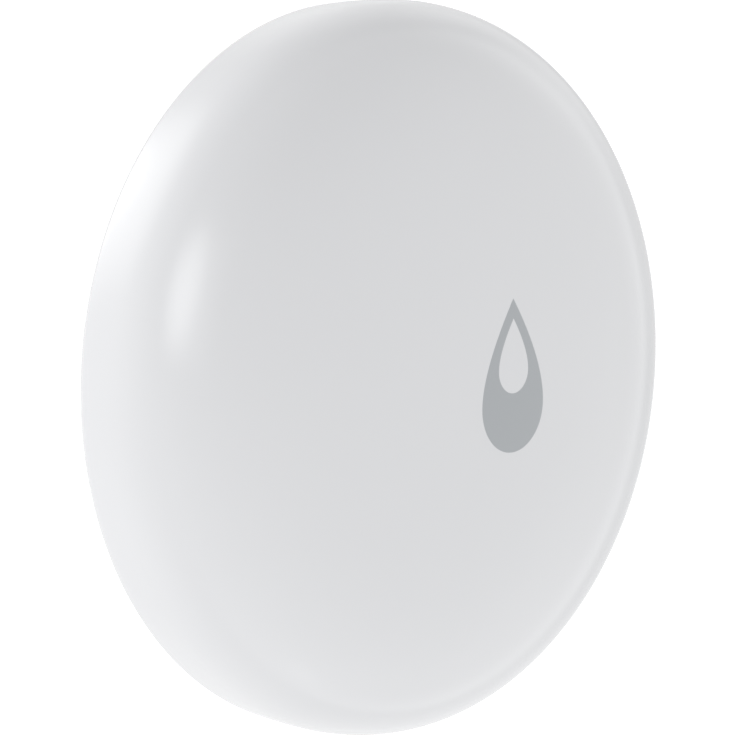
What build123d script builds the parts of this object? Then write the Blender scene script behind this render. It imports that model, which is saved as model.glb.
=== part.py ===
from build123d import *
import math
import os

os.makedirs("parts", exist_ok=True)

# A round water leak sensor. Its frame stands on the floor: the origin is on the
# axis at floor level, +Z runs up through the crown and +Y to the drop's point.
# All lengths are in millimetres and all angles in degrees.

# Outer form of the shell
BODY_R = 25.0
BODY_H = 15.0
WIDEST_Z = 4.6
LIP_Z = 0.8
LIP_CORNER = 1.0
SIDE_ARC_R = 40.0
CROWN_RISE = 9.3
CROWN_FLAT = 13.6

# Shell walls and general clearances
SKIRT_WALL = 1.7
CROWN_WALL = 1.6
OVERRUN = 1.0
BITE = 0.3
GLUE_GAP = 0.02

# Press travel of the crown on the switch
PRESS_TRAVEL = 0.25
PRESS_GAP = 0.05
SLIDE_GAP = 0.2

# Drop symbol let into the crown
DROP_R = 3.165
DROP_TIP = 6.99
DROP_CENTRE_X = 0.55
DROP_CENTRE_Y = -1.6
DROP_EYE_R = 1.53
DROP_EYE_TIP = 3.41
DROP_EYE_RAISE = 2.29
DROP_THICK = 0.15
DROP_SIDE_SHARE = 0.82

# Base plate
STANDOFF = 0.5
FLOOR_T = 2.0
UPSTAND_T = 1.3
EDGE_ROUND = 0.3

# Snap hooks of the shell and their windows in the upstand
HOOK_COUNT = 4
HOOK_RAISE = 0.6
HOOK_H = 0.9
HOOK_LEAD = 0.35
HOOK_REACH = 0.75
HOOK_GAP = 0.12
HOOK_ANGLE = 14
WINDOW_ANGLE = 18
HOOK_START = 45

# Seal ring between shell and base
SEAL_H = 0.9
SEAL_ROUND = 0.25
SEAL_GROOVE_DEPTH = 0.7
SEAL_SIDE_GAP = 0.02
SEAL_TOUCH_GAP = 0.05
SEAL_LAND = 0.5

# Coin cell, size 2032; its radius follows from the rings around it
CELL_H = 3.2
CELL_SHEET = 0.3
CELL_GASKET_T = 0.45
CELL_STEP_H = 0.45
CELL_STEP_IN = 0.7
CELL_EDGE = 0.25
CELL_CLEARANCE = 0.5
CELL_SEAT_GAP = 0.2

# Battery cover with three ramped lugs
FLANGE_T = 1.6
FLANGE_GAP = 0.15
SEAT_GAP = 0.05
SPIGOT_WALL = 1.4
SPIGOT_GAP = 0.2
LUG_COUNT = 3
LUG_REACH = 0.95
LUG_T = 0.9
LUG_ANGLE = 22
LUG_START = 30
LUG_END_GAP = 0.15
LEDGE_T = 0.9
LEDGE_ANGLE = 24
STOP_ANGLE = 4
RAMP_GAP = 0.1
TURN_LEAD = 12.0
COIN_SLOT_L = 14.0
COIN_SLOT_W = 2.0
COIN_SLOT_DEPTH = 1.0
COIN_DISH_R = 9.0
COIN_DISH_DEPTH = 0.25
MARK_R = 0.45
MARK_DEPTH = 0.25

# Face seal of the battery cover
FACE_SEAL_W = 1.0
FACE_SEAL_H = 0.7
FACE_SEAL_INSET = 0.35
FACE_SEAL_GAP = 0.05
FLANGE_RIM = 0.75

# Battery well in the base
HUB_WALL = 1.2
HUB_ROOF = 0.9
WELL_GAP = 0.4
WELL_WALL = 1.2
WELL_RISE = 0.5
WELL_SLOT_W = 4.4

# Probe screws, their seals and the pillars that they screw into
PROBE_HEAD_R = 2.3
PROBE_HEAD_H = 0.95
PROBE_SHANK_R = 1.0
PROBE_SHANK_L = 4.2
PROBE_ROUND = 0.3
PROBE_RECESS_GAP = 0.15
PROBE_LAND = 0.2
PROBE_SEAL_R = 1.95
PROBE_SEAL_H = 0.5
PROBE_SEAL_BORE_GAP = 0.1
THREAD_GAP = 0.03
PILLAR_R = 1.75
PILLAR_TIP_R = 0.8
PILLAR_TIP_RISE = 0.4
PILLAR_FLOOR = 0.7
CROSS_L = 2.4
CROSS_W = 0.55
CROSS_DEPTH = 0.6

# Feet
FOOT_R = 1.9
FOOT_ROUND = 0.35

# Circuit board
CONTACT_SPACE = 1.1
BOARD_T = 1.0
BOARD_GAP = 0.4
BOARD_HOLE_GAP = 0.1
BOARD_NOTCH_W = 2.4
BOARD_NOTCH_DEPTH = 0.6

# Posts and screws that hold the board
POST_COUNT = 3
POST_START = 90
POST_R = 1.9
POST_GAP = 0.2
POST_FLOOR = 0.8
SCREW_R = 0.9
SCREW_HEAD_R = 1.8
SCREW_HEAD_H = 1.1
SCREW_L = 4.0
SCREW_CROSS_L = 1.8
SCREW_CROSS_W = 0.45
SCREW_CROSS_DEPTH = 0.5

# Push switch under the crown's centre
SWITCH_SIDE = 4.6
SWITCH_H = 1.3
SWITCH_FLOOR = 0.45
SWITCH_CAVITY_R = 1.5
SWITCH_FRAME_T = 0.2
SWITCH_TAB_DROP = 0.7
SWITCH_TAB_W = 2.2
SWITCH_LEG_W = 0.7
SWITCH_LEG_OUT = 0.7
SWITCH_LEG_T = 0.15
PLUNGER_FLANGE_R = 1.35
PLUNGER_FLANGE_T = 0.3
PLUNGER_STEM_R = 0.85
PLUNGER_STEM_RISE = 0.7
PLUNGER_FIT = 0.07
DOME_T = 0.06
DOME_R = 1.3
DOME_GAP = 0.02

# Press boss and light pocket under the crown
BOSS_R = 1.7
BOSS_RIB_L = 9.0
BOSS_RIB_W = 0.8
BOSS_RIB_SHARE = 0.45
LIGHT_POCKET_R = 1.5
LIGHT_SKIN = 1.0
LIGHT_PLACE_SHARE = 0.42

# Radio module with its shield can
RADIO_EDGE = 0.55
RADIO_T = 0.8
RADIO_PLACE_SHARES = (-0.43, 0.4)
SHIELD_L = 7.4
SHIELD_W = 7.4
SHIELD_H = 1.5
SHIELD_SHEET = 0.2
SHIELD_ROUND = 0.3
SHIELD_MARGIN = 0.4
RADIO_CHIP_SIDE = 4.0
RADIO_CHIP_H = 0.8
ANTENNA_L = 2.0
ANTENNA_T = 0.05
ANTENNA_W = 0.5
ANTENNA_PITCH = 1.1
ANTENNA_FOLDS = 6
ANTENNA_MARGIN = 0.6

# Chips and small parts on the board; their places are shares of the board's radius,
# and the small ones also have an angle
CONTROL_CHIP_SIDE = 5.0
CONTROL_CHIP_H = 0.9
CONTROL_CHIP_SHARES = (0.4, 0.4)
CHIP_DOT_R = 0.3
CHIP_DOT_DEPTH = 0.08
CRYSTAL_L = 3.2
CRYSTAL_W = 1.5
CRYSTAL_H = 0.8
CRYSTAL_ROUND = 0.25
CRYSTAL_SHARES = (0.66, 0.14)
LED_L = 2.0
LED_W = 1.2
LED_BASE_H = 0.4
LED_LENS_H = 0.35
CHIP_L = 1.6
CHIP_W = 0.8
CHIP_H = 0.5
CHIP_PLACE_SHARES = [
    (0.22, -0.3, 0), (0.22, -0.4, 0), (-0.22, -0.3, 0), (-0.22, -0.4, 0),
    (0.42, -0.16, 90), (0.5, -0.16, 90), (-0.42, -0.16, 90), (-0.5, -0.16, 90),
    (0.36, -0.56, 0), (-0.36, -0.56, 0), (0.12, 0.62, 0), (0.24, 0.66, 0),
    (0.6, 0.36, 90), (0.2, 0.42, 90), (0.0, -0.62, 0), (0.0, -0.72, 0),
]
CAPACITOR_L = 3.2
CAPACITOR_W = 2.6
CAPACITOR_H = 1.6
CAPACITOR_SHARES = (-0.66, -0.16)

# Battery contacts
CONTACT_SHEET = 0.2
NEGATIVE_W = 4.0
NEGATIVE_PAD_L = 3.5
NEGATIVE_REACH = 3.2
NEGATIVE_TIP = 1.2
POSITIVE_W = 3.2
POSITIVE_PAD_L = 3.0
POSITIVE_BEND = 0.9
POSITIVE_LIP = 0.3

# The radio module's board follows the shield can and the antenna
RADIO_L = SHIELD_L + SHIELD_MARGIN + ANTENNA_L + 2 * ANTENNA_MARGIN
RADIO_W = SHIELD_W + 2 * RADIO_EDGE

# Radii that follow from the sizes above, ring by ring from the shell in to the cell
BORE_R = BODY_R - SKIRT_WALL
BASE_R = BORE_R - SLIDE_GAP
SEAL_GROOVE_R = BASE_R - SEAL_GROOVE_DEPTH
UPSTAND_INNER_R = BASE_R - UPSTAND_T
BOARD_R = UPSTAND_INNER_R - BOARD_GAP
PROBE_SEAT_R = PROBE_HEAD_R + PROBE_RECESS_GAP
PROBE_PLACE_R = UPSTAND_INNER_R - PROBE_LAND - PROBE_SEAT_R
HUB_R = PROBE_PLACE_R - PROBE_SEAT_R - PROBE_LAND
POST_PLACE_R = HUB_R + POST_GAP + POST_R
RECESS_R = HUB_R - HUB_WALL
FLANGE_R = RECESS_R - FLANGE_GAP
FACE_SEAL_OUTER_R = FLANGE_R - FLANGE_RIM - FACE_SEAL_GAP
FACE_SEAL_INNER_R = FACE_SEAL_OUTER_R - FACE_SEAL_W
THROAT_R = FACE_SEAL_INNER_R - FACE_SEAL_INSET
LUG_R = THROAT_R - LUG_END_GAP
SPIGOT_R = LUG_R - LUG_REACH
LEDGE_R = SPIGOT_R + SPIGOT_GAP
LUG_MIDDLE_R = (LUG_R + LEDGE_R) / 2
SPIGOT_INNER_R = SPIGOT_R - SPIGOT_WALL
CELL_R = SPIGOT_INNER_R - CELL_CLEARANCE
WELL_R = CELL_R + WELL_GAP

# Heights that follow from the sizes above
UNDERSIDE_Z = STANDOFF
FLOOR_TOP_Z = UNDERSIDE_Z + FLOOR_T
HOOK_Z = FLOOR_TOP_Z + HOOK_RAISE
WINDOW_Z = HOOK_Z - PRESS_TRAVEL - HOOK_GAP
WINDOW_TOP_Z = HOOK_Z + HOOK_H + HOOK_GAP
SEAL_Z = WINDOW_TOP_Z + SEAL_LAND
SEAL_TOP_Z = SEAL_Z + SEAL_H
UPSTAND_TOP_Z = SEAL_TOP_Z + SEAL_LAND
FLANGE_TOP_Z = UNDERSIDE_Z + FLANGE_T
SEAT_Z = FLANGE_TOP_Z + SEAT_GAP
LEDGE_TOP_Z = SEAT_Z + LEDGE_T
LUG_Z = LEDGE_TOP_Z + RAMP_GAP
LUG_RISE = TURN_LEAD * (LUG_ANGLE / 2) / 360
LUG_TOP_Z = LUG_Z + LUG_T + LUG_RISE
CHAMBER_TOP_Z = LUG_TOP_Z + RAMP_GAP
HUB_TOP_Z = CHAMBER_TOP_Z + HUB_ROOF
CELL_Z = FLANGE_TOP_Z + CELL_SEAT_GAP
CELL_TOP_Z = CELL_Z + CELL_H
WELL_TOP_Z = max(CELL_TOP_Z + WELL_RISE, HUB_TOP_Z)
BOARD_Z = CELL_TOP_Z + CONTACT_SPACE
BOARD_TOP_Z = BOARD_Z + BOARD_T
SWITCH_TOP_Z = BOARD_TOP_Z + SWITCH_H
FRAME_TOP_Z = SWITCH_TOP_Z + SWITCH_FRAME_T
PLUNGER_TOP_Z = FRAME_TOP_Z + PLUNGER_STEM_RISE
CEILING_Z = BODY_H - CROWN_WALL

RAMP_TILT = math.degrees(math.atan(TURN_LEAD / (2 * math.pi * LUG_MIDDLE_R)))
ON_FLOOR = (Align.CENTER, Align.CENTER, Align.MIN)
UNDER_TOP = (Align.CENTER, Align.CENTER, Align.MAX)


def disc(radius, bottom, top, x=0, y=0):
    """A round bar along Z from one height to another."""
    return Pos(x, y, bottom) * Cylinder(radius, top - bottom, align=ON_FLOOR)


def ring(outer, inner, bottom, top, x=0, y=0):
    """A round bar with a bore."""
    return disc(outer, bottom, top, x, y) - disc(inner, bottom - OVERRUN, top + OVERRUN, x, y)


def block(length, width, bottom, top, x=0, y=0):
    """A box along the axes, centred on x and y."""
    return Pos(x, y, bottom) * Box(length, width, top - bottom, align=ON_FLOOR)


def turned(corners, arc=360, middle=0):
    """A section of (radius, height) corners turned about Z, centred on one angle."""
    section = make_face(Polyline(*[(radius, 0, z) for radius, z in corners], close=True))
    start = middle - arc / 2 if arc < 360 else middle
    return Rot(0, 0, start) * revolve(section, Axis.Z, revolution_arc=arc)


def sector(outer, inner, bottom, top, arc, middle):
    """A piece of a ring, centred on one angle."""
    return turned([(inner, bottom), (outer, bottom), (outer, top), (inner, top)], arc, middle)


def around(count, start):
    """The angles of a number of evenly spaced copies."""
    return [start + 360 * index / count for index in range(count)]


def on_circle(radius, angle):
    """The x and y of a point on a circle about the axis."""
    return radius * math.cos(math.radians(angle)), radius * math.sin(math.radians(angle))


def ramp_slab(height, thickness, angle, align):
    """A slab tilted to the ramps of the battery cover, its face at one angle and height."""
    slab = Box(BODY_R, BODY_R, thickness, align=align)
    return Rot(0, 0, angle) * Pos(LUG_MIDDLE_R, 0, height) * Rot(RAMP_TILT, 0, 0) * slab


def cross_recess(length, width, depth, x, y, face_z, way):
    """The cross slot of a screw head, cut from its face; way is +1 up into it or -1 down."""
    low = min(face_z - way * OVERRUN, face_z + way * depth)
    high = max(face_z - way * OVERRUN, face_z + way * depth)
    return block(length, width, low, high, x, y) + block(width, length, low, high, x, y)


def side_radius(height):
    """Radius of the gently curved side wall at a height below the widest line."""
    return BODY_R - SIDE_ARC_R + math.sqrt(SIDE_ARC_R**2 - (WIDEST_Z - height) ** 2)


def outer_form():
    """The whole outside of the shell, before it is hollowed."""
    lip_r = side_radius(LIP_Z)
    middle_z = (LIP_Z + WIDEST_Z) / 2
    side = ThreePointArc(
        (lip_r, 0, LIP_Z), (side_radius(middle_z), 0, middle_z), (BODY_R, 0, WIDEST_Z)
    )
    crown = Bezier(
        (BODY_R, 0, WIDEST_Z),
        (BODY_R, 0, WIDEST_Z + CROWN_RISE),
        (CROWN_FLAT, 0, BODY_H),
        (0, 0, BODY_H),
    )
    axis_line = Line((0, 0, BODY_H), (0, 0, LIP_Z))
    bottom_line = Line((0, 0, LIP_Z), (lip_r, 0, LIP_Z))
    form = revolve(make_face([bottom_line, side, crown, axis_line]), Axis.Z)
    lip_edge = form.edges().filter_by(GeomType.CIRCLE).sort_by(Axis.Z)[0]
    return fillet(lip_edge, LIP_CORNER)


def hollow():
    """The space inside the shell: a straight bore under a ceiling that follows the crown."""
    low_z = LIP_Z - OVERRUN
    ceiling = Bezier(
        (BORE_R, 0, UPSTAND_TOP_Z),
        (BORE_R, 0, WIDEST_Z + CROWN_RISE - CROWN_WALL),
        (CROWN_FLAT - CROWN_WALL, 0, CEILING_Z),
        (0, 0, CEILING_Z),
    )
    walls = Polyline((0, 0, CEILING_Z), (0, 0, low_z), (BORE_R, 0, low_z), (BORE_R, 0, UPSTAND_TOP_Z))
    return revolve(make_face([ceiling, walls]), Axis.Z)


def drop_outline(radius, tip, centre_y):
    """A drop: the lower half of a circle, and two swept sides that meet in a point."""
    left_x = DROP_CENTRE_X - radius
    right_x = DROP_CENTRE_X + radius
    top = (DROP_CENTRE_X, centre_y + tip)
    left = (left_x, centre_y)
    right = (right_x, centre_y)
    shoulder_y = centre_y + DROP_SIDE_SHARE * radius
    return make_face([
        ThreePointArc(left, (DROP_CENTRE_X, centre_y - radius), right),
        Bezier(right, (right_x, shoulder_y), top),
        Bezier(top, (left_x, shoulder_y), left),
    ])


def drop_prism(grow):
    """The drop with its open eye, as an upright prism; grow widens it all round."""
    outer = drop_outline(DROP_R + grow, DROP_TIP + grow, DROP_CENTRE_Y)
    eye_y = DROP_CENTRE_Y + DROP_EYE_RAISE
    eye = drop_outline(DROP_EYE_R - grow, DROP_EYE_TIP - grow, eye_y)
    return extrude(outer - eye, BODY_H + OVERRUN)


def top_cover(form):
    """The one-piece shell, with its snap hooks, press boss and the bed of the drop."""
    shell = form - hollow()
    for angle in around(HOOK_COUNT, HOOK_START):
        shell += snap_hook(angle)
    shell += press_boss()
    light_x, light_y = light_place()
    light_top = BODY_H - LIGHT_SKIN
    shell -= disc(LIGHT_POCKET_R, CEILING_Z - LIGHT_SKIN, light_top, light_x, light_y)
    bed_form = Pos(0, 0, -DROP_THICK - GLUE_GAP) * form
    shell -= drop_prism(GLUE_GAP) - bed_form
    return shell


def snap_hook(angle):
    """A hook inside the skirt, with a sloped lead below and a flat catch on top."""
    root_r = BORE_R + BITE
    tip_r = BORE_R - HOOK_REACH
    top_z = HOOK_Z + HOOK_H
    corners = [
        (root_r, HOOK_Z), (BORE_R - SLIDE_GAP, HOOK_Z), (tip_r, HOOK_Z + HOOK_LEAD),
        (tip_r, top_z), (root_r, top_z),
    ]
    return turned(corners, HOOK_ANGLE, angle)


def press_boss():
    """The boss that reaches down to the switch, with two crossed ribs under the crown."""
    root_z = CEILING_Z + BITE
    tip_z = PLUNGER_TOP_Z + PRESS_GAP
    rib_z = CEILING_Z - BOSS_RIB_SHARE * (CEILING_Z - tip_z)
    boss = disc(BOSS_R, tip_z, root_z)
    boss += block(BOSS_RIB_L, BOSS_RIB_W, rib_z, root_z)
    return boss + block(BOSS_RIB_W, BOSS_RIB_L, rib_z, root_z)


def light_place():
    """Where the status light stands, under its pocket in the crown."""
    return on_circle(LIGHT_PLACE_SHARE * BOARD_R, -90)


def drop_symbol(form):
    """The thin grey drop, flush with the crown and curved like it."""
    bed_form = Pos(0, 0, -DROP_THICK) * form
    return drop_prism(0) & (form - bed_form)


def base_plate():
    """The floor of the case with its upstand, battery well, posts, probe seats and feet."""
    plate = disc(BASE_R, UNDERSIDE_Z, FLOOR_TOP_Z)
    plate = fillet(plate.edges().group_by(Axis.Z)[0], EDGE_ROUND)
    plate += upstand()
    plate += disc(HUB_R, FLOOR_TOP_Z - BITE, SEAT_Z + HUB_WALL)
    plate += disc(THROAT_R + HUB_WALL, FLOOR_TOP_Z - BITE, HUB_TOP_Z)
    plate += disc(WELL_R + WELL_WALL, FLOOR_TOP_Z - BITE, WELL_TOP_Z)
    plate -= disc(RECESS_R, UNDERSIDE_Z - OVERRUN, SEAT_Z)
    plate -= disc(THROAT_R, SEAT_Z - OVERRUN, CHAMBER_TOP_Z)
    plate -= disc(WELL_R, SEAT_Z, WELL_TOP_Z + OVERRUN)
    plate -= clip_slot()
    for angle in around(LUG_COUNT, LUG_START):
        plate += ledge(angle)
    for angle in around(POST_COUNT, POST_START):
        plate = plate + screw_post(angle) - screw_pilot(angle)
    for side in (-1, 1):
        plate -= probe_seat(side * PROBE_PLACE_R)
        plate += foot(side * PROBE_PLACE_R)
    mark_y = RECESS_R + HUB_WALL
    return plate - disc(MARK_R, UNDERSIDE_Z - OVERRUN, UNDERSIDE_Z + MARK_DEPTH, 0, -mark_y)


def upstand():
    """The ring wall that the shell slides over, with its seal groove and hook windows."""
    wall = ring(BASE_R, UPSTAND_INNER_R, FLOOR_TOP_Z - BITE, UPSTAND_TOP_Z)
    wall -= ring(BASE_R + OVERRUN, SEAL_GROOVE_R, SEAL_Z - SEAL_SIDE_GAP, SEAL_TOP_Z + SEAL_SIDE_GAP)
    for angle in around(HOOK_COUNT, HOOK_START):
        wall -= sector(
            BASE_R + OVERRUN, UPSTAND_INNER_R - OVERRUN, WINDOW_Z, WINDOW_TOP_Z, WINDOW_ANGLE, angle
        )
    return wall


def clip_slot():
    """The gap in the well wall for the positive contact."""
    inner = WELL_R - OVERRUN
    outer = WELL_R + WELL_WALL + OVERRUN
    low_z = CHAMBER_TOP_Z - BITE
    return block(outer - inner, WELL_SLOT_W, low_z, WELL_TOP_Z + OVERRUN, (inner + outer) / 2)


def ledge(angle):
    """A ramped ledge that a lug of the battery cover rides on, with a stop at its high end."""
    root_r = THROAT_R + BITE
    ramp = sector(root_r, LEDGE_R, SEAT_Z, CHAMBER_TOP_Z, LEDGE_ANGLE, angle)
    ramp &= ramp_slab(LEDGE_TOP_Z, CHAMBER_TOP_Z, angle, UNDER_TOP)
    stop_angle = angle + (LEDGE_ANGLE + STOP_ANGLE) / 2
    stop = sector(root_r, LEDGE_R, SEAT_Z, CHAMBER_TOP_Z + BITE, STOP_ANGLE, stop_angle)
    return ramp + stop


def screw_post(angle):
    """A post under the circuit board."""
    x, y = on_circle(POST_PLACE_R, angle)
    return disc(POST_R, FLOOR_TOP_Z - BITE, BOARD_Z, x, y)


def screw_pilot(angle):
    """The blind hole that a board screw bites into."""
    x, y = on_circle(POST_PLACE_R, angle)
    return disc(SCREW_R + THREAD_GAP, FLOOR_TOP_Z + POST_FLOOR - BITE, BOARD_Z + OVERRUN, x, y)


def probe_seat(x):
    """The stepped hole for a probe screw: head recess, seal pocket and shank hole."""
    head_top = PROBE_HEAD_H
    seal_top = head_top + PROBE_SEAL_H
    seat = disc(PROBE_SEAT_R, UNDERSIDE_Z - OVERRUN, head_top, x)
    seat += disc(PROBE_SEAL_R + SEAL_SIDE_GAP, UNDERSIDE_Z, seal_top, x)
    return seat + disc(PROBE_SHANK_R + THREAD_GAP, UNDERSIDE_Z, FLOOR_TOP_Z + OVERRUN, x)


def foot(y):
    """A moulded foot, level with the probe heads."""
    stud = disc(FOOT_R, 0, UNDERSIDE_Z + BITE, 0, y)
    return fillet(stud.edges().group_by(Axis.Z)[0], FOOT_ROUND)


def case_seal():
    """The seal ring in the groove of the upstand."""
    band = ring(BORE_R - SEAL_TOUCH_GAP, SEAL_GROOVE_R + SEAL_SIDE_GAP, SEAL_Z, SEAL_TOP_Z)
    return fillet(band.edges().filter_by(GeomType.CIRCLE), SEAL_ROUND)


def battery_cover():
    """The coin-turned cover: flange, seal groove, ring that holds the cell, and lugs."""
    cover = disc(FLANGE_R, UNDERSIDE_Z, FLANGE_TOP_Z)
    cover = fillet(cover.edges().group_by(Axis.Z)[0], EDGE_ROUND)
    cover += ring(SPIGOT_R, SPIGOT_INNER_R, FLANGE_TOP_Z - BITE, LUG_TOP_Z)
    groove_outer = FACE_SEAL_OUTER_R + FACE_SEAL_GAP
    groove_inner = FACE_SEAL_INNER_R - FACE_SEAL_GAP
    cover -= ring(groove_outer, groove_inner, face_seal_z() - SEAL_SIDE_GAP, SEAT_Z)
    for angle in around(LUG_COUNT, LUG_START):
        cover += lug(angle)
    slot_top = UNDERSIDE_Z + COIN_SLOT_DEPTH
    cover -= disc(COIN_DISH_R, UNDERSIDE_Z - OVERRUN, UNDERSIDE_Z + COIN_DISH_DEPTH)
    cover -= coin_slot(UNDERSIDE_Z - OVERRUN, slot_top)
    mark_y = -(COIN_DISH_R + FLANGE_R) / 2
    return cover - disc(MARK_R, UNDERSIDE_Z - OVERRUN, UNDERSIDE_Z + MARK_DEPTH, 0, mark_y)


def coin_slot(bottom, top):
    """A slot with round ends for the edge of a coin."""
    straight = COIN_SLOT_L - COIN_SLOT_W
    slot = block(straight, COIN_SLOT_W, bottom, top)
    for side in (-1, 1):
        slot += disc(COIN_SLOT_W / 2, bottom, top, side * straight / 2)
    return slot


def lug(angle):
    """A ramped lug on the ring of the battery cover."""
    blank = sector(LUG_R, SPIGOT_R - BITE, SEAT_Z, LUG_TOP_Z, LUG_ANGLE, angle)
    return blank & ramp_slab(LUG_Z, LUG_T, angle, ON_FLOOR)


def face_seal_z():
    """Height of the underside of the battery cover's seal."""
    return SEAT_Z - SEAL_SIDE_GAP - FACE_SEAL_H


def battery_cover_seal():
    """The flat ring seal on the flange of the battery cover."""
    bottom = face_seal_z()
    band = ring(FACE_SEAL_OUTER_R, FACE_SEAL_INNER_R, bottom, bottom + FACE_SEAL_H)
    return fillet(band.edges().filter_by(GeomType.CIRCLE), SEAL_ROUND)


def cell_can():
    """The positive can of the coin cell, rolled in over the gasket."""
    rim_top = CELL_TOP_Z - CELL_STEP_H
    can = disc(CELL_R, CELL_Z, rim_top)
    can = fillet(can.edges().filter_by(GeomType.CIRCLE), CELL_EDGE)
    return can - disc(CELL_R - CELL_SHEET, CELL_Z + CELL_SHEET, rim_top + OVERRUN)


def cell_gasket():
    """The plastic ring between can and cap."""
    outer = CELL_R - CELL_SHEET
    return ring(outer, outer - CELL_GASKET_T, CELL_Z + CELL_SHEET, CELL_TOP_Z - CELL_STEP_H)


def cell_cap():
    """The negative cap with the cell's filling, stepped up to the contact face."""
    outer = CELL_R - CELL_SHEET - CELL_GASKET_T
    cap = disc(outer, CELL_Z + CELL_SHEET, CELL_TOP_Z - CELL_STEP_H)
    face = disc(outer - CELL_STEP_IN, CELL_Z + CELL_SHEET, CELL_TOP_Z)
    return cap + fillet(face.edges().group_by(Axis.Z)[-1], CELL_EDGE)


def probe_screw(x):
    """A stainless probe screw: its low head touches the floor and any water on it."""
    head = disc(PROBE_HEAD_R, 0, PROBE_HEAD_H, x)
    head = fillet(head.edges().group_by(Axis.Z)[0], PROBE_ROUND)
    screw = head + disc(PROBE_SHANK_R, PROBE_HEAD_H - BITE, PROBE_HEAD_H + PROBE_SHANK_L, x)
    return screw - cross_recess(CROSS_L, CROSS_W, CROSS_DEPTH, x, 0, 0, 1)


def probe_seal(x):
    """The small seal under a probe screw's head."""
    inner = PROBE_SHANK_R + PROBE_SEAL_BORE_GAP
    return ring(PROBE_SEAL_R, inner, PROBE_HEAD_H, PROBE_HEAD_H + PROBE_SEAL_H, x)


def probe_pillar(x):
    """The threaded pillar that carries a probe's signal up to the board."""
    pillar = disc(PILLAR_R, FLOOR_TOP_Z, BOARD_Z, x)
    pillar += disc(PILLAR_TIP_R, BOARD_Z - BITE, BOARD_TOP_Z + PILLAR_TIP_RISE, x)
    bore_top = max(PROBE_HEAD_H + PROBE_SHANK_L + BITE, BOARD_Z - PILLAR_FLOOR)
    return pillar - disc(PROBE_SHANK_R + THREAD_GAP, FLOOR_TOP_Z - OVERRUN, bore_top, x)


def circuit_board():
    """The round board with its screw holes, pillar holes and two break-off notches."""
    board = disc(BOARD_R, BOARD_Z, BOARD_TOP_Z)
    low_z = BOARD_Z - OVERRUN
    high_z = BOARD_TOP_Z + OVERRUN
    for angle in around(POST_COUNT, POST_START):
        x, y = on_circle(POST_PLACE_R, angle)
        board -= disc(SCREW_R + BOARD_HOLE_GAP, low_z, high_z, x, y)
    for side in (-1, 1):
        board -= disc(PILLAR_TIP_R + BOARD_HOLE_GAP, low_z, high_z, side * PROBE_PLACE_R)
        notch_r = BOARD_R - BOARD_NOTCH_DEPTH
        board -= sector(
            BOARD_R + OVERRUN, notch_r, low_z, high_z,
            math.degrees(BOARD_NOTCH_W / BOARD_R), 90 + side * POST_START / 2,
        )
    return board


def board_screws():
    """The screws that hold the board on its posts."""
    return Compound(children=[
        board_screw(angle) for angle in around(POST_COUNT, POST_START)
    ])


def board_screw(angle):
    """One pan-head screw."""
    x, y = on_circle(POST_PLACE_R, angle)
    top_z = BOARD_TOP_Z + SCREW_HEAD_H
    head = disc(SCREW_HEAD_R, BOARD_TOP_Z, top_z, x, y)
    head = fillet(head.edges().group_by(Axis.Z)[-1], EDGE_ROUND)
    screw = head + disc(SCREW_R, BOARD_TOP_Z + BITE - SCREW_L, BOARD_TOP_Z + BITE, x, y)
    screw -= cross_recess(SCREW_CROSS_L, SCREW_CROSS_W, SCREW_CROSS_DEPTH, x, y, top_z, -1)
    return screw.solid()


def switch_body():
    """The moulded body of the push switch, open at the top, with four flat legs."""
    half = SWITCH_SIDE / 2
    body = block(SWITCH_SIDE, SWITCH_SIDE, BOARD_TOP_Z, SWITCH_TOP_Z)
    body -= disc(SWITCH_CAVITY_R, BOARD_TOP_Z + SWITCH_FLOOR, SWITCH_TOP_Z + OVERRUN)
    leg_x = half + SWITCH_LEG_OUT / 2
    leg_y = half - SWITCH_LEG_W
    for side_x in (-1, 1):
        for side_y in (-1, 1):
            body += block(
                SWITCH_LEG_OUT + BITE, SWITCH_LEG_W, BOARD_TOP_Z, BOARD_TOP_Z + SWITCH_LEG_T,
                side_x * (leg_x - BITE / 2), side_y * leg_y,
            )
    return body


def switch_frame():
    """The steel plate over the switch, with a hole for the plunger and two side tabs."""
    plate = block(SWITCH_SIDE, SWITCH_SIDE, SWITCH_TOP_Z, FRAME_TOP_Z)
    tab_y = (SWITCH_SIDE + SWITCH_FRAME_T) / 2
    for side in (-1, 1):
        plate += block(
            SWITCH_TAB_W, SWITCH_FRAME_T, SWITCH_TOP_Z - SWITCH_TAB_DROP, FRAME_TOP_Z,
            0, side * tab_y,
        )
    return plate - disc(PLUNGER_STEM_R + PLUNGER_FIT, SWITCH_TOP_Z - OVERRUN, FRAME_TOP_Z + OVERRUN)


def switch_plunger():
    """The plunger that the crown's boss presses."""
    flange_top = SWITCH_TOP_Z - PRESS_GAP
    plunger = disc(PLUNGER_FLANGE_R, flange_top - PLUNGER_FLANGE_T, flange_top)
    return plunger + disc(PLUNGER_STEM_R, flange_top - BITE, PLUNGER_TOP_Z)


def dome_rise():
    """How far the snap dome stands above the switch's inner floor."""
    plunger_bottom = SWITCH_TOP_Z - PRESS_GAP - PLUNGER_FLANGE_T
    return plunger_bottom - DOME_GAP - BOARD_TOP_Z - SWITCH_FLOOR


def switch_dome():
    """The sheet-metal snap dome under the plunger, which gives the press its click."""
    rise = dome_rise()
    ball_r = (DOME_R**2 + rise**2) / (2 * rise)
    floor_z = BOARD_TOP_Z + SWITCH_FLOOR
    centre_z = floor_z + rise - ball_r
    ball = Pos(0, 0, centre_z) * Sphere(ball_r)
    core = Pos(0, 0, centre_z) * Sphere(ball_r - DOME_T)
    return (ball - core) & disc(DOME_R, floor_z, floor_z + rise + OVERRUN)


def radio_place():
    """The centre of the radio module on the board."""
    return [share * BOARD_R for share in RADIO_PLACE_SHARES]


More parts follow.
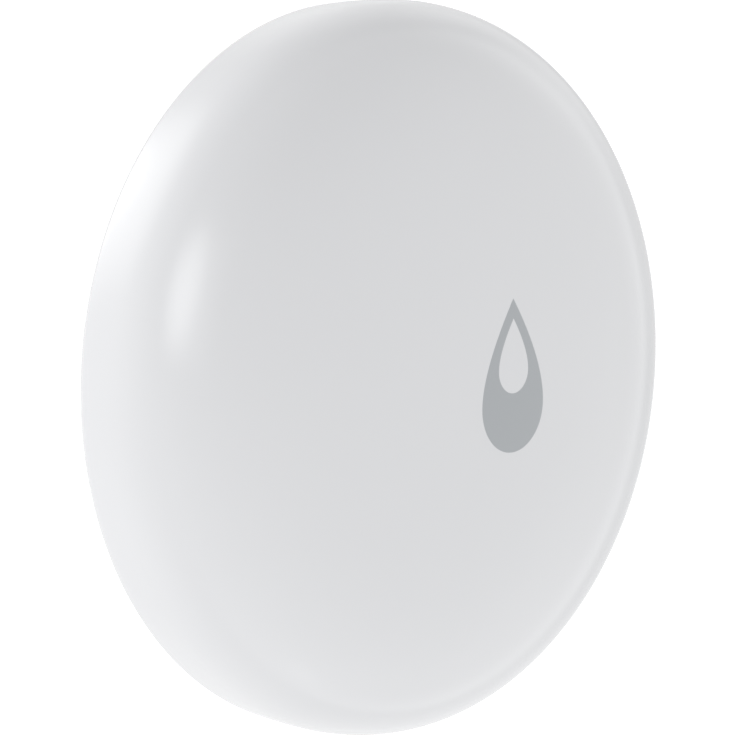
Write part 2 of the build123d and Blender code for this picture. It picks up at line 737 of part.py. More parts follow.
def radio_board():
    """The small board of the radio module."""
    x, y = radio_place()
    return block(RADIO_L, RADIO_W, BOARD_TOP_Z, BOARD_TOP_Z + RADIO_T, x, y)


def shield_x():
    """The x of the shield can's centre, at the inner end of the radio module."""
    return radio_place()[0] + (RADIO_L - SHIELD_L) / 2 - SHIELD_MARGIN


def radio_shield():
    """The sheet-metal can over the radio chip."""
    bottom = BOARD_TOP_Z + RADIO_T
    y = radio_place()[1]
    can = block(SHIELD_L, SHIELD_W, bottom, bottom + SHIELD_H, shield_x(), y)
    can = fillet(can.edges().filter_by(Axis.Z) + can.edges().group_by(Axis.Z)[-1], SHIELD_ROUND)
    inner_l = SHIELD_L - 2 * SHIELD_SHEET
    inner_w = SHIELD_W - 2 * SHIELD_SHEET
    inner_top = bottom + SHIELD_H - SHIELD_SHEET
    return can - block(inner_l, inner_w, bottom - OVERRUN, inner_top, shield_x(), y)


def radio_chip():
    """The radio chip under the shield can."""
    bottom = BOARD_TOP_Z + RADIO_T
    top = bottom + RADIO_CHIP_H
    return block(RADIO_CHIP_SIDE, RADIO_CHIP_SIDE, bottom, top, shield_x(), radio_place()[1])


def antenna():
    """The folded copper strip of the antenna on the outer end of the radio module."""
    bottom = BOARD_TOP_Z + RADIO_T
    top = bottom + ANTENNA_T
    x, y = radio_place()
    outer_x = x - RADIO_L / 2 + ANTENNA_MARGIN
    inner_x = outer_x + ANTENNA_L
    middle_x = (inner_x + outer_x) / 2
    first_y = y - ANTENNA_PITCH * (ANTENNA_FOLDS - 1) / 2
    strip = block(ANTENNA_L, ANTENNA_W, bottom, top, middle_x, first_y)
    for fold in range(1, ANTENNA_FOLDS):
        fold_y = first_y + fold * ANTENNA_PITCH
        strip += block(ANTENNA_L, ANTENNA_W, bottom, top, middle_x, fold_y)
        end_x = outer_x + ANTENNA_W / 2 if fold % 2 else inner_x - ANTENNA_W / 2
        link_y = fold_y - ANTENNA_PITCH / 2
        strip += block(ANTENNA_W, ANTENNA_PITCH + ANTENNA_W, bottom, top, end_x, link_y)
    return strip


def control_chip():
    """The control chip, with the dimple that marks its first leg."""
    x, y = [share * BOARD_R for share in CONTROL_CHIP_SHARES]
    top = BOARD_TOP_Z + CONTROL_CHIP_H
    chip = block(CONTROL_CHIP_SIDE, CONTROL_CHIP_SIDE, BOARD_TOP_Z, top, x, y)
    inset = CONTROL_CHIP_SIDE / 2 - 2 * CHIP_DOT_R
    return chip - disc(CHIP_DOT_R, top - CHIP_DOT_DEPTH, top + OVERRUN, x - inset, y + inset)


def crystal():
    """The clock crystal in its metal can."""
    x, y = [share * BOARD_R for share in CRYSTAL_SHARES]
    can = block(CRYSTAL_W, CRYSTAL_L, BOARD_TOP_Z, BOARD_TOP_Z + CRYSTAL_H, x, y)
    return fillet(can.edges().filter_by(Axis.Z), CRYSTAL_ROUND)


def status_led():
    """The status light: a flat base with a lower, narrower lens."""
    x, y = light_place()
    lens_z = BOARD_TOP_Z + LED_BASE_H
    base = block(LED_L, LED_W, BOARD_TOP_Z, lens_z, x, y)
    return base + block(LED_L - LED_BASE_H, LED_W, lens_z, lens_z + LED_LENS_H, x, y)


def capacitor():
    """The storage capacitor beside the battery contact."""
    x, y = [share * BOARD_R for share in CAPACITOR_SHARES]
    return block(CAPACITOR_L, CAPACITOR_W, BOARD_TOP_Z, BOARD_TOP_Z + CAPACITOR_H, x, y)


def chip_components():
    """The small resistors and capacitors, as a group of separate blocks."""
    return Compound(children=[
        chip_component(x_share, y_share, angle) for x_share, y_share, angle in CHIP_PLACE_SHARES
    ])


def chip_component(x_share, y_share, angle):
    """One small flat part on the board."""
    place = Pos(x_share * BOARD_R, y_share * BOARD_R, BOARD_TOP_Z) * Rot(0, 0, angle)
    return place * Box(CHIP_L, CHIP_W, CHIP_H, align=ON_FLOOR)


def strip(path, width):
    """A bent sheet-metal strip that follows a path of (x, height) points."""
    line = Polyline(*[(x, z) for x, z in path])
    face = Plane.XZ * trace(line, CONTACT_SHEET)
    return extrude(face, width / 2, both=True)


def negative_contact():
    """The leaf under the board that presses on the cell's cap."""
    pad_z = BOARD_Z - CONTACT_SHEET / 2
    tip_z = CELL_TOP_Z + CONTACT_SHEET / 2 + GLUE_GAP
    reach = NEGATIVE_REACH
    path = [
        (-reach - NEGATIVE_PAD_L, pad_z), (-reach, pad_z),
        (0, tip_z), (NEGATIVE_TIP, tip_z), (2 * NEGATIVE_TIP, tip_z + CONTACT_SHEET * 2),
    ]
    return strip(path, NEGATIVE_W)


def positive_clip():
    """The spring that hangs from the board and presses on the side of the cell's can."""
    pad_z = BOARD_Z - CONTACT_SHEET / 2
    touch_x = CELL_R + CONTACT_SHEET / 2 + GLUE_GAP
    bend_x = touch_x + POSITIVE_BEND
    touch_z = CELL_TOP_Z - CELL_STEP_H - CELL_EDGE
    path = [
        (bend_x + POSITIVE_PAD_L, pad_z), (bend_x, pad_z),
        (touch_x, touch_z), (touch_x + POSITIVE_LIP / 2, touch_z - POSITIVE_LIP / 2),
    ]
    return strip(path, POSITIVE_W)


def write(node, shape):
    """Write one named piece."""
    shape.label = node
    export_step(shape, "parts/" + node + ".step")


shell_form = outer_form()
PIECES = {
    "top_cover": top_cover(shell_form),
    "drop_symbol": drop_symbol(shell_form),
    "base_plate": base_plate(),
    "case_seal": case_seal(),
    "battery_cover": battery_cover(),
    "battery_cover_seal": battery_cover_seal(),
    "cell_can": cell_can(),
    "cell_gasket": cell_gasket(),
    "cell_cap": cell_cap(),
    "probe_screw_left": probe_screw(-PROBE_PLACE_R),
    "probe_screw_right": probe_screw(PROBE_PLACE_R),
    "probe_seal_left": probe_seal(-PROBE_PLACE_R),
    "probe_seal_right": probe_seal(PROBE_PLACE_R),
    "probe_pillar_left": probe_pillar(-PROBE_PLACE_R),
    "probe_pillar_right": probe_pillar(PROBE_PLACE_R),
    "circuit_board": circuit_board(),
    "board_screws": board_screws(),
    "switch_body": switch_body(),
    "switch_frame": switch_frame(),
    "switch_dome": switch_dome(),
    "switch_plunger": switch_plunger(),
    "radio_board": radio_board(),
    "radio_chip": radio_chip(),
    "radio_shield": radio_shield(),
    "antenna": antenna(),
    "control_chip": control_chip(),
    "crystal": crystal(),
    "status_led": status_led(),
    "capacitor": capacitor(),
    "chip_components": chip_components(),
    "negative_contact": negative_contact(),
    "positive_clip": positive_clip(),
}
for name, piece in PIECES.items():
    write(name, piece)
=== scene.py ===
import math

import bmesh
import bpy
import numpy as np
from mathutils import Matrix, Vector
from mathutils.geometry import delaunay_2d_cdt

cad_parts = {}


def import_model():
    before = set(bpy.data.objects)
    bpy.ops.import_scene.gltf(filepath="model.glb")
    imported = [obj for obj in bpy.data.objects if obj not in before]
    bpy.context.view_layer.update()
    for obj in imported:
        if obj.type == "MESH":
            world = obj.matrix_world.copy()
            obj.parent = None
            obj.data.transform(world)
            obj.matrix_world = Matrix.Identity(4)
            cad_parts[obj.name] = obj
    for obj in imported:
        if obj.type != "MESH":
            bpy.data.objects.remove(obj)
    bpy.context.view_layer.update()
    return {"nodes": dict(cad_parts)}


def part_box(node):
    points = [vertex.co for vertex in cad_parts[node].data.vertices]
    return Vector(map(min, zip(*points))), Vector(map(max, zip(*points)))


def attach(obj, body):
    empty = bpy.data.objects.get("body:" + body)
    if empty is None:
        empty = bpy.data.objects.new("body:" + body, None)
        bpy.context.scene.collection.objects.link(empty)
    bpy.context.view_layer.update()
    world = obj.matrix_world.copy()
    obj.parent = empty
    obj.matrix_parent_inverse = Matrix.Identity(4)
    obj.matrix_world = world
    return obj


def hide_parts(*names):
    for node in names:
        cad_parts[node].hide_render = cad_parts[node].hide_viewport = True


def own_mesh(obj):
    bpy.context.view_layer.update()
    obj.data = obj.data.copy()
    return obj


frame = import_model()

# A round white water leak sensor: a gloss dome with a grey drop on its crown. It stands
# on two steel probes and two feet, under a coin-turned battery cover. Metres throughout.

MM = 0.001

# Outer form of the shell, as in the part's source
BODY_R = 25.0 * MM
BODY_H = 15.0 * MM
WIDEST_Z = 4.6 * MM
LIP_Z = 0.8 * MM
LIP_CORNER = 1.0 * MM
SIDE_ARC_R = 40.0 * MM
CROWN_RISE = 9.3 * MM
CROWN_FLAT = 13.6 * MM
SKIRT_WALL = 1.7 * MM
CROWN_WALL = 1.6 * MM
BORE_R = BODY_R - SKIRT_WALL
BORE_TOP_Z = 6.07 * MM
CEILING_Z = BODY_H - CROWN_WALL

# Drop on the crown
DROP_R = 3.165 * MM
DROP_TIP = 6.99 * MM
DROP_CENTRE_X = 0.55 * MM
DROP_CENTRE_Y = -1.6 * MM
DROP_EYE_R = 1.53 * MM
DROP_EYE_TIP = 3.41 * MM
DROP_EYE_RAISE = 2.29 * MM
DROP_SIDE_SHARE = 0.82
DROP_PROUD = 0.006 * MM
DROP_SUNK = 0.03 * MM
DROP_GRID = 0.35 * MM
DROP_STEPS = 40
DROP_EYE_STEPS = 26
DROP_SAME_POINT = 1e-5

# Camera, as the photograph was taken
CAMERA_RIGHT = (0.6755, 0.0, 0.7374)
CAMERA_UP = (0.0851, 0.9933, -0.0780)
CAMERA_BACK = (-0.7325, 0.1154, 0.6709)
CAMERA_PLACE = (-115.974 * MM, 18.178 * MM, 108.782 * MM)
CAMERA_LENS = 112.18
CAMERA_SENSOR = 36.0
CAMERA_NEAR = 0.005
CAMERA_FAR = 20.0


# Small helpers for meshes

MERGE_WITHIN = 1e-7
WELD_WITHIN = 1e-8
CREASE_DEGREES = 32
FINE_CREASE_DEGREES = 30


def new_object(name, data):
    """A new object of the scene."""
    made = bpy.data.objects.new(name, data)
    bpy.context.scene.collection.objects.link(made)
    return made


def mesh_object(name, vertices, faces):
    """A new mesh object at the origin."""
    mesh = bpy.data.meshes.new(name)
    mesh.from_pydata([tuple(v) for v in vertices], [], [tuple(f) for f in faces])
    mesh.update()
    return new_object(name, mesh)


def tidy_mesh(mesh):
    """Merges doubles and turns all the faces outward."""
    work = bmesh.new()
    work.from_mesh(mesh)
    bmesh.ops.remove_doubles(work, verts=work.verts, dist=MERGE_WITHIN)
    bmesh.ops.recalc_face_normals(work, faces=work.faces)
    work.to_mesh(mesh)
    work.free()


def smooth_by_angle(mesh, degrees=CREASE_DEGREES):
    """Smooth shading, with edges sharper than an angle left crisp."""
    mesh.shade_smooth()
    mesh.set_sharp_from_angle(angle=math.radians(degrees))


def give(made, finish, body, slot_name, *nodes):
    """Finish, body and replaced nodes of one piece; the slot name is not used."""
    if finish is not None:
        made.data.materials.clear()
        made.data.materials.append(finish)
    if nodes:
        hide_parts(*nodes)
    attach(made, body)
    return made


def bezier(points, count):
    """Points along a cubic curve, closer together at both ends."""
    share = (1 - np.cos(np.linspace(0, math.pi, count))) / 2
    a, b, c, d = [np.array(p, float) for p in points]
    t = share[:, None]
    return (1 - t) ** 3 * a + 3 * (1 - t) ** 2 * t * b + 3 * (1 - t) * t * t * c + t**3 * d


def arc(centre, radius, start, end, count):
    """Points along a circular arc, angles in degrees."""
    angles = np.radians(np.linspace(start, end, count))
    return np.c_[centre[0] + radius * np.cos(angles), centre[1] + radius * np.sin(angles)]


# The shell's section, as (radius, height)

CROWN_STEPS = 72
CROWN_TABLE_STEPS = 400
CEILING_STEPS = 48
SIDE_STEPS = 14
CORNER_STEPS = 12


def side_radius(height):
    """Radius of the gently curved side below the widest line."""
    return BODY_R - SIDE_ARC_R + math.sqrt(SIDE_ARC_R**2 - (WIDEST_Z - height) ** 2)


def crown_points(count=CROWN_STEPS):
    """The crown, from the widest line to the axis."""
    shoulder = (BODY_R, WIDEST_Z + CROWN_RISE)
    flat = (CROWN_FLAT, BODY_H)
    return bezier([(BODY_R, WIDEST_Z), shoulder, flat, (0, BODY_H)], count)


def ceiling_points():
    """The underside of the crown, from the bore to the axis."""
    shoulder = (BORE_R, WIDEST_Z + CROWN_RISE - CROWN_WALL)
    flat = (CROWN_FLAT - CROWN_WALL, CEILING_Z)
    return bezier([(BORE_R, BORE_TOP_Z), shoulder, flat, (0, CEILING_Z)], CEILING_STEPS)


def shell_section():
    """The whole section, from the crown's middle round the lip and back to the axis."""
    corner_z = LIP_Z + LIP_CORNER
    heights = np.linspace(WIDEST_Z, corner_z, SIDE_STEPS)[1:]
    side = np.array([(side_radius(z), z) for z in heights])
    middle = (side_radius(corner_z) - LIP_CORNER, corner_z)
    corner = arc(middle, LIP_CORNER, 0, -90, CORNER_STEPS)[1:]
    bore = np.array([(BORE_R, LIP_Z), (BORE_R, (LIP_Z + BORE_TOP_Z) / 2)])
    return np.vstack([crown_points()[::-1], side, corner, bore, ceiling_points()])


CROWN = crown_points(CROWN_TABLE_STEPS)
CROWN_R_UP = CROWN[::-1, 0]
CROWN_Z_UP = CROWN[::-1, 1]


def crown_height(radius):
    """Height of the crown at a distance from the axis."""
    return float(np.interp(radius, CROWN_R_UP, CROWN_Z_UP))


# Node helpers

COLUMN_STEP = 220
ROW_STEP = 260


def fill(item, values):
    """Sets the values of a node's unlinked inputs."""
    for name, value in values.items():
        item.inputs[name].default_value = value


def node(tree, kind, values=None, **settings):
    """A new node with its settings and the values of its unlinked inputs."""
    made = tree.nodes.new(kind)
    for name, value in settings.items():
        setattr(made, name, value)
    fill(made, values or {})
    return made


def maths(tree, operation, values=None):
    """A new node that works out one number from its inputs."""
    return node(tree, "ShaderNodeMath", values, operation=operation)


def ramp(tree, values=None):
    """A new node that eases softly from one level to another."""
    return node(tree, "ShaderNodeMapRange", values, interpolation_type="SMOOTHSTEP")


def link(tree, *rows):
    """Links nodes in order: (from node, its output, to node, its input) each."""
    for source, output, target, entry in rows:
        tree.links.new(source.outputs[output], target.inputs[entry])


def lay_out(tree):
    """Sets a tree's nodes out in columns, each node to the left of all that it feeds."""
    depth = {item.name: 0 for item in tree.nodes}
    for _ in tree.nodes:
        for joined in tree.links:
            left, right = joined.from_node.name, joined.to_node.name
            depth[left] = max(depth[left], depth[right] + 1)
    filled = {}
    for item in tree.nodes:
        column = depth[item.name]
        filled[column] = filled.get(column, 0) + 1
        item.location = (-COLUMN_STEP * column, -ROW_STEP * filled[column])


def lay_out_all():
    """Sets out every group, material and world that has nodes."""
    holders = [*bpy.data.materials, *bpy.data.worlds]
    trees = [holder.node_tree for holder in holders if holder.use_nodes]
    for tree in [*bpy.data.node_groups, *trees]:
        lay_out(tree)


def new_group(kind, name, inputs, outputs):
    """A new group and its two end nodes; each socket is (name, type) or (name, type, default)."""
    tree = bpy.data.node_groups.new(name, kind)
    for way, rows in (("INPUT", inputs), ("OUTPUT", outputs)):
        for row in rows:
            made = tree.interface.new_socket(name=row[0], in_out=way, socket_type=row[1])
            if len(row) > 2:
                made.default_value = row[2]
    return tree, node(tree, "NodeGroupInput"), node(tree, "NodeGroupOutput")


FLOAT = "NodeSocketFloat"
COUNT = "NodeSocketInt"
VECTOR = "NodeSocketVector"
COLOUR = "NodeSocketColor"
SHAPE = "NodeSocketGeometry"
FINISH = "NodeSocketMaterial"
GEOMETRY_TREE = "GeometryNodeTree"
SHADER_TREE = "ShaderNodeTree"


# Geometry Nodes

def lathe_tree():
    """Turns a section of (radius, height) points about the axis into a closed form."""
    tree, start, end = new_group(
        GEOMETRY_TREE, "turned form",
        [("Section", SHAPE), ("Path Radius", FLOAT, 0.01), ("Segments", COUNT, 128), ("Finish", FINISH)],
        [("Form", SHAPE)],
    )
    path = node(tree, "GeometryNodeCurvePrimitiveCircle")
    where = node(tree, "GeometryNodeInputPosition")
    split = node(tree, "ShaderNodeSeparateXYZ")
    inward = maths(tree, "SUBTRACT")
    upside = maths(tree, "MULTIPLY", {1: -1.0})
    join = node(tree, "ShaderNodeCombineXYZ")
    place = node(tree, "GeometryNodeSetPosition")
    sweep = node(tree, "GeometryNodeCurveToMesh")
    weld = node(tree, "GeometryNodeMergeByDistance", {"Distance": WELD_WITHIN})
    real = node(tree, "GeometryNodeRealizeInstances")
    paint = node(tree, "GeometryNodeSetMaterial")
    link(
        tree,
        (start, "Segments", path, "Resolution"),
        (start, "Path Radius", path, "Radius"),
        (where, "Position", split, 0),
        (split, "X", inward, 0),
        (start, "Path Radius", inward, 1),
        (split, "Y", upside, 0),
        (inward, 0, join, "X"),
        (upside, 0, join, "Y"),
        (start, "Section", place, "Geometry"),
        (join, 0, place, "Position"),
        (path, "Curve", sweep, "Curve"),
        (place, "Geometry", sweep, "Profile Curve"),
        (sweep, "Mesh", weld, "Geometry"),
        (weld, "Geometry", real, "Geometry"),
        (real, "Geometry", paint, "Geometry"),
        (start, "Finish", paint, "Material"),
        (paint, "Geometry", end, "Form"),
    )
    return tree


def ring_tree():
    """Sets evenly turned copies of one shape round the axis."""
    tree, start, end = new_group(
        GEOMETRY_TREE, "ring of copies",
        [("Shape", SHAPE), ("Count", COUNT, 4), ("Start Angle", FLOAT, 0.0), ("Finish", FINISH)],
        [("Ring", SHAPE)],
    )
    seats = node(tree, "GeometryNodeMeshLine", {"Offset": (0.0, 0.0, 0.0)})
    index = node(tree, "GeometryNodeInputIndex")
    step = maths(tree, "DIVIDE", {0: math.tau})
    turn = maths(tree, "MULTIPLY_ADD")
    angles = node(tree, "ShaderNodeCombineXYZ")
    copies = node(tree, "GeometryNodeInstanceOnPoints")
    real = node(tree, "GeometryNodeRealizeInstances")
    paint = node(tree, "GeometryNodeSetMaterial")
    link(
        tree,
        (start, "Count", seats, "Count"),
        (start, "Count", step, 1),
        (index, 0, turn, 0),
        (step, 0, turn, 1),
        (start, "Start Angle", turn, 2),
        (turn, 0, angles, "Z"),
        (seats, "Mesh", copies, "Points"),
        (start, "Shape", copies, "Instance"),
        (angles, 0, copies, "Rotation"),
        (copies, "Instances", real, "Geometry"),
        (real, "Geometry", paint, "Geometry"),
        (start, "Finish", paint, "Material"),
        (paint, "Geometry", end, "Ring"),
    )
    return tree


def less(tree, start, whole, part):
    """One size of the group less another."""
    made = maths(tree, "SUBTRACT")
    link(tree, (start, whole, made, 0), (start, part, made, 1))
    return made


def block(tree, length, width, height):
    """A block; each size is a node and its output."""
    size = node(tree, "ShaderNodeCombineXYZ")
    made = node(tree, "GeometryNodeMeshCube")
    link(tree, (*length, size, "X"), (*width, size, "Y"), (*height, size, "Z"), (size, 0, made, "Size"))
    return made


def shifted(tree, shape, output, size, share, axis):
    """A shape moved along an axis by a share of a size, which is a node and its output."""
    part = maths(tree, "MULTIPLY", {1: share})
    way = node(tree, "ShaderNodeCombineXYZ")
    made = node(tree, "GeometryNodeTransform")
    link(
        tree,
        (*size, part, 0),
        (part, 0, way, axis),
        (shape, output, made, "Geometry"),
        (way, 0, made, "Translation"),
    )
    return made


def chip_tree():
    """Sets small ceramic blocks with metal ends on points, each turned by its own angle."""
    tree, start, end = new_group(
        GEOMETRY_TREE, "chip parts",
        [
            ("Places", SHAPE), ("Length", FLOAT, 1.6 * MM), ("Width", FLOAT, 0.8 * MM),
            ("Height", FLOAT, 0.5 * MM), ("End Length", FLOAT, 0.3 * MM), ("Skin", FLOAT, 0.02 * MM),
            ("Body Finish", FINISH), ("End Finish", FINISH),
        ],
        [("Parts", SHAPE)],
    )
    long = less(tree, start, "Length", "End Length")
    wide = less(tree, start, "Width", "Skin")
    high = less(tree, start, "Height", "Skin")
    body = block(tree, (long, 0), (wide, 0), (high, 0))
    cap = block(tree, (start, "End Length"), (start, "Width"), (start, "Height"))
    caps = node(tree, "GeometryNodeJoinGeometry")
    for way in (0.5, -0.5):
        link(tree, (shifted(tree, cap, "Mesh", (long, 0), way, "X"), "Geometry", caps, "Geometry"))
    mark = node(
        tree, "GeometryNodeStoreNamedAttribute", {"Name": "metal_end", "Value": True},
        data_type="BOOLEAN", domain="FACE",
    )
    one = node(tree, "GeometryNodeJoinGeometry")
    stand = shifted(tree, one, "Geometry", (start, "Height"), 0.5, "Z")
    turn = node(tree, "GeometryNodeInputNamedAttribute", {"Name": "turn"}, data_type="FLOAT")
    angles = node(tree, "ShaderNodeCombineXYZ")
    copies = node(tree, "GeometryNodeInstanceOnPoints")
    real = node(tree, "GeometryNodeRealizeInstances")
    is_end = node(tree, "GeometryNodeInputNamedAttribute", {"Name": "metal_end"}, data_type="BOOLEAN")
    is_body = node(tree, "FunctionNodeBooleanMath", operation="NOT")
    paint_body = node(tree, "GeometryNodeSetMaterial")
    paint_end = node(tree, "GeometryNodeSetMaterial")
    link(
        tree,
        (caps, "Geometry", mark, "Geometry"),
        (mark, "Geometry", one, "Geometry"),
        (body, "Mesh", one, "Geometry"),
        (start, "Places", copies, "Points"),
        (stand, "Geometry", copies, "Instance"),
        (turn, "Attribute", angles, "Z"),
        (angles, 0, copies, "Rotation"),
        (copies, "Instances", real, "Geometry"),
        (is_end, "Attribute", is_body, 0),
        (real, "Geometry", paint_body, "Geometry"),
        (is_body, 0, paint_body, "Selection"),
        (start, "Body Finish", paint_body, "Material"),
        (paint_body, "Geometry", paint_end, "Geometry"),
        (is_end, "Attribute", paint_end, "Selection"),
        (start, "End Finish", paint_end, "Material"),
        (paint_end, "Geometry", end, "Parts"),
    )
    return tree


def grown(seed, tree, name, values):
    """Runs a tree on an object and returns its result as a plain mesh object."""
    modifier = seed.modifiers.new("shape", "NODES")
    modifier.node_group = tree
    for item in tree.interface.items_tree:
        if item.item_type == "SOCKET" and item.in_out == "INPUT" and item.name in values:
            modifier[item.identifier] = values[item.name]
    bpy.context.view_layer.update()
    result = seed.evaluated_get(bpy.context.evaluated_depsgraph_get())
    mesh = bpy.data.meshes.new_from_object(result)
    mesh.name = name
    bpy.data.objects.remove(seed)
    return new_object(name, mesh)


def section_curve(name, section):
    """A flat curve through the (radius, height) points of a section."""
    data = bpy.data.curves.new(name, "CURVE")
    data.dimensions = "3D"
    line = data.splines.new("POLY")
    line.points.add(len(section) - 1)
    for point, (radius, height) in zip(line.points, section):
        point.co = (radius, height, 0, 1)
    return new_object(name, data)


def turned(name, section, finish, segments=128, path_radius=10 * MM):
    """A closed form turned from its section."""
    seed = section_curve(name + "_section", section)
    values = {"Path Radius": path_radius, "Segments": segments, "Finish": finish}
    made = grown(seed, LATHE, name, values)
    tidy_mesh(made.data)
    smooth_by_angle(made.data)
    return made


def ringed(name, one, count, start_degrees, finish):
    """Copies of one mesh object round the axis."""
    values = {"Count": count, "Start Angle": math.radians(start_degrees), "Finish": finish}
    made = grown(one, RING, name, values)
    tidy_mesh(made.data)
    smooth_by_angle(made.data)
    return made


def merged(name, *parts):
    """Joins finished mesh objects into one."""
    work = bmesh.new()
    finishes = []
    for part in parts:
        finish = part.data.materials[0]
        if finish not in finishes:
            finishes.append(finish)
        first = len(work.faces)
        work.from_mesh(part.data)
        work.faces.ensure_lookup_table()
        for face in work.faces[first:]:
            face.material_index = finishes.index(finish)
    mesh = bpy.data.meshes.new(name)
    work.to_mesh(mesh)
    work.free()
    for part in parts:
        bpy.data.objects.remove(part)
    for finish in finishes:
        mesh.materials.append(finish)
    return new_object(name, mesh)


# Shader groups

def grain_group():
    """Eroded mould texture: height of the grain, and where it is worn smooth."""
    tree, start, end = new_group(
        SHADER_TREE, "mould grain",
        [("Vector", VECTOR), ("Scale", FLOAT, 2500.0), ("Patch Scale", FLOAT, 150.0)],
        [("Height", FLOAT), ("Smoothed", FLOAT)],
    )
    cells = node(tree, "ShaderNodeTexVoronoi", {"Smoothness": 0.6}, feature="SMOOTH_F1")
    dust = node(tree, "ShaderNodeTexNoise", {"Detail": 4.0, "Roughness": 0.6})
    patch = node(tree, "ShaderNodeTexNoise", {"Detail": 2.0})
    blend = maths(tree, "MULTIPLY_ADD")
    ease = node(tree, "ShaderNodeMapRange", {"From Min": 0.35, "From Max": 0.7})
    link(
        tree,
        (start, "Vector", cells, "Vector"),
        (start, "Vector", dust, "Vector"),
        (start, "Vector", patch, "Vector"),
        (start, "Scale", cells, "Scale"),
        (start, "Scale", dust, "Scale"),
        (start, "Patch Scale", patch, "Scale"),
        (cells, "Distance", blend, 0),
        (dust, "Fac", blend, 1),
        (dust, "Fac", blend, 2),
        (patch, "Fac", ease, "Value"),
        (blend, 0, end, "Height"),
        (ease, "Result", end, "Smoothed"),
    )
    return tree


def cloud_group():
    """Slow, soft variation: a colour between two, and a roughness between two."""
    tree, start, end = new_group(
        SHADER_TREE, "slow variation",
        [
            ("Vector", VECTOR), ("Scale", FLOAT, 60.0), ("Low Colour", COLOUR), ("High Colour", COLOUR),
            ("Low Roughness", FLOAT, 0.2), ("High Roughness", FLOAT, 0.3),
        ],
        [("Colour", COLOUR), ("Roughness", FLOAT), ("Mask", FLOAT)],
    )
    cloud = node(tree, "ShaderNodeTexNoise", {"Detail": 3.0, "Roughness": 0.55})
    spread = node(tree, "ShaderNodeMapRange", {"From Min": 0.3, "From Max": 0.7})
    tint = node(tree, "ShaderNodeMix", data_type="RGBA")
    gloss = node(tree, "ShaderNodeMix", data_type="FLOAT")
    link(
        tree,
        (start, "Vector", cloud, "Vector"),
        (start, "Scale", cloud, "Scale"),
        (cloud, "Fac", spread, "Value"),
        (spread, "Result", tint, 0),
        (spread, "Result", gloss, 0),
        (start, "Low Colour", tint, 6),
        (start, "High Colour", tint, 7),
        (start, "Low Roughness", gloss, 2),
        (start, "High Roughness", gloss, 3),
        (tint, 2, end, "Colour"),
        (gloss, 0, end, "Roughness"),
        (spread, "Result", end, "Mask"),
    )
    return tree


def rings_group():
    """Turning marks round Z: fine uneven rings, with a little scatter."""
    tree, start, end = new_group(
        SHADER_TREE, "turning marks",
        [("Vector", VECTOR), ("Rings", FLOAT, 9000.0), ("Scatter", FLOAT, 0.4)],
        [("Height", FLOAT), ("Mask", FLOAT)],
    )
    flat = node(tree, "ShaderNodeVectorMath", {1: (1.0, 1.0, 0.0)}, operation="MULTIPLY")
    reach = node(tree, "ShaderNodeVectorMath", operation="LENGTH")
    along = maths(tree, "MULTIPLY")
    uneven = node(tree, "ShaderNodeTexNoise", {"Scale": 1.0, "Detail": 3.0}, noise_dimensions="1D")
    dust = node(tree, "ShaderNodeTexNoise", {"Detail": 2.0})
    scatter = maths(tree, "MULTIPLY")
    total = maths(tree, "ADD")
    link(
        tree,
        (start, "Vector", flat, 0),
        (flat, 0, reach, 0),
        (reach, "Value", along, 0),
        (start, "Rings", along, 1),
        (along, 0, uneven, "W"),
        (start, "Vector", dust, "Vector"),
        (start, "Rings", dust, "Scale"),
        (dust, "Fac", scatter, 0),
        (start, "Scatter", scatter, 1),
        (uneven, "Fac", total, 0),
        (scatter, 0, total, 1),
        (total, 0, end, "Height"),
        (uneven, "Fac", end, "Mask"),
    )
    return tree


def tracks_group():
    """Board tracks along X: rows of straight runs, of which some are there."""
    tree, start, end = new_group(
        SHADER_TREE, "board tracks",
        [
            ("Vector", VECTOR), ("Rows", FLOAT, 1600.0), ("Run", FLOAT, 8.0), ("Width", FLOAT, 0.14),
            ("Share", FLOAT, 0.3),
        ],
        [("Mask", FLOAT)],
    )
    scaled = node(tree, "ShaderNodeVectorMath", operation="SCALE")
    split = node(tree, "ShaderNodeSeparateXYZ")
    row = maths(tree, "FLOOR")
    spot = maths(tree, "FRACT")
    middle = maths(tree, "SUBTRACT", {1: 0.5})
    off = maths(tree, "ABSOLUTE")
    rim = maths(tree, "MULTIPLY", {1: 1.35})
    line = node(tree, "ShaderNodeMapRange", {"To Min": 1.0, "To Max": 0.0})
    shift = node(tree, "ShaderNodeTexWhiteNoise", noise_dimensions="1D")
    runs = maths(tree, "DIVIDE")
    moved = maths(tree, "ADD")
    cell = maths(tree, "FLOOR")
    where = node(tree, "ShaderNodeCombineXYZ")
    chance = node(tree, "ShaderNodeTexWhiteNoise", noise_dimensions="2D")
    there = maths(tree, "LESS_THAN")
    mask = maths(tree, "MULTIPLY")
    link(
        tree,
        (start, "Vector", scaled, 0),
        (start, "Rows", scaled, "Scale"),
        (scaled, 0, split, 0),
        (split, "Y", row, 0),
        (split, "Y", spot, 0),
        (spot, 0, middle, 0),
        (middle, 0, off, 0),
        (start, "Width", rim, 0),
        (off, 0, line, "Value"),
        (start, "Width", line, "From Min"),
        (rim, 0, line, "From Max"),
        (row, 0, shift, "W"),
        (split, "X", runs, 0),
        (start, "Run", runs, 1),
        (runs, 0, moved, 0),
        (shift, "Value", moved, 1),
        (moved, 0, cell, 0),
        (cell, 0, where, "X"),
        (row, 0, where, "Y"),
        (where, 0, chance, "Vector"),
        (chance, "Value", there, 0),
        (start, "Share", there, 1),
        (line, "Result", mask, 0),
        (there, 0, mask, 1),
        (mask, 0, end, "Mask"),
    )
    return tree


GRAIN = grain_group()
CLOUD = cloud_group()
RINGS = rings_group()
TRACKS = tracks_group()


# Materials

WAVE_SCALE = 420.0
WAVE_DEPTH = 0.0015 * MM
TURNING_DEPTH = 0.0012 * MM
TURNING_SCATTER = 0.25
STREAK_SCALE = (400.0, 9000.0, 9000.0)
STREAK_DEPTH = 0.0008 * MM
HANDLED_POLISH = -0.08


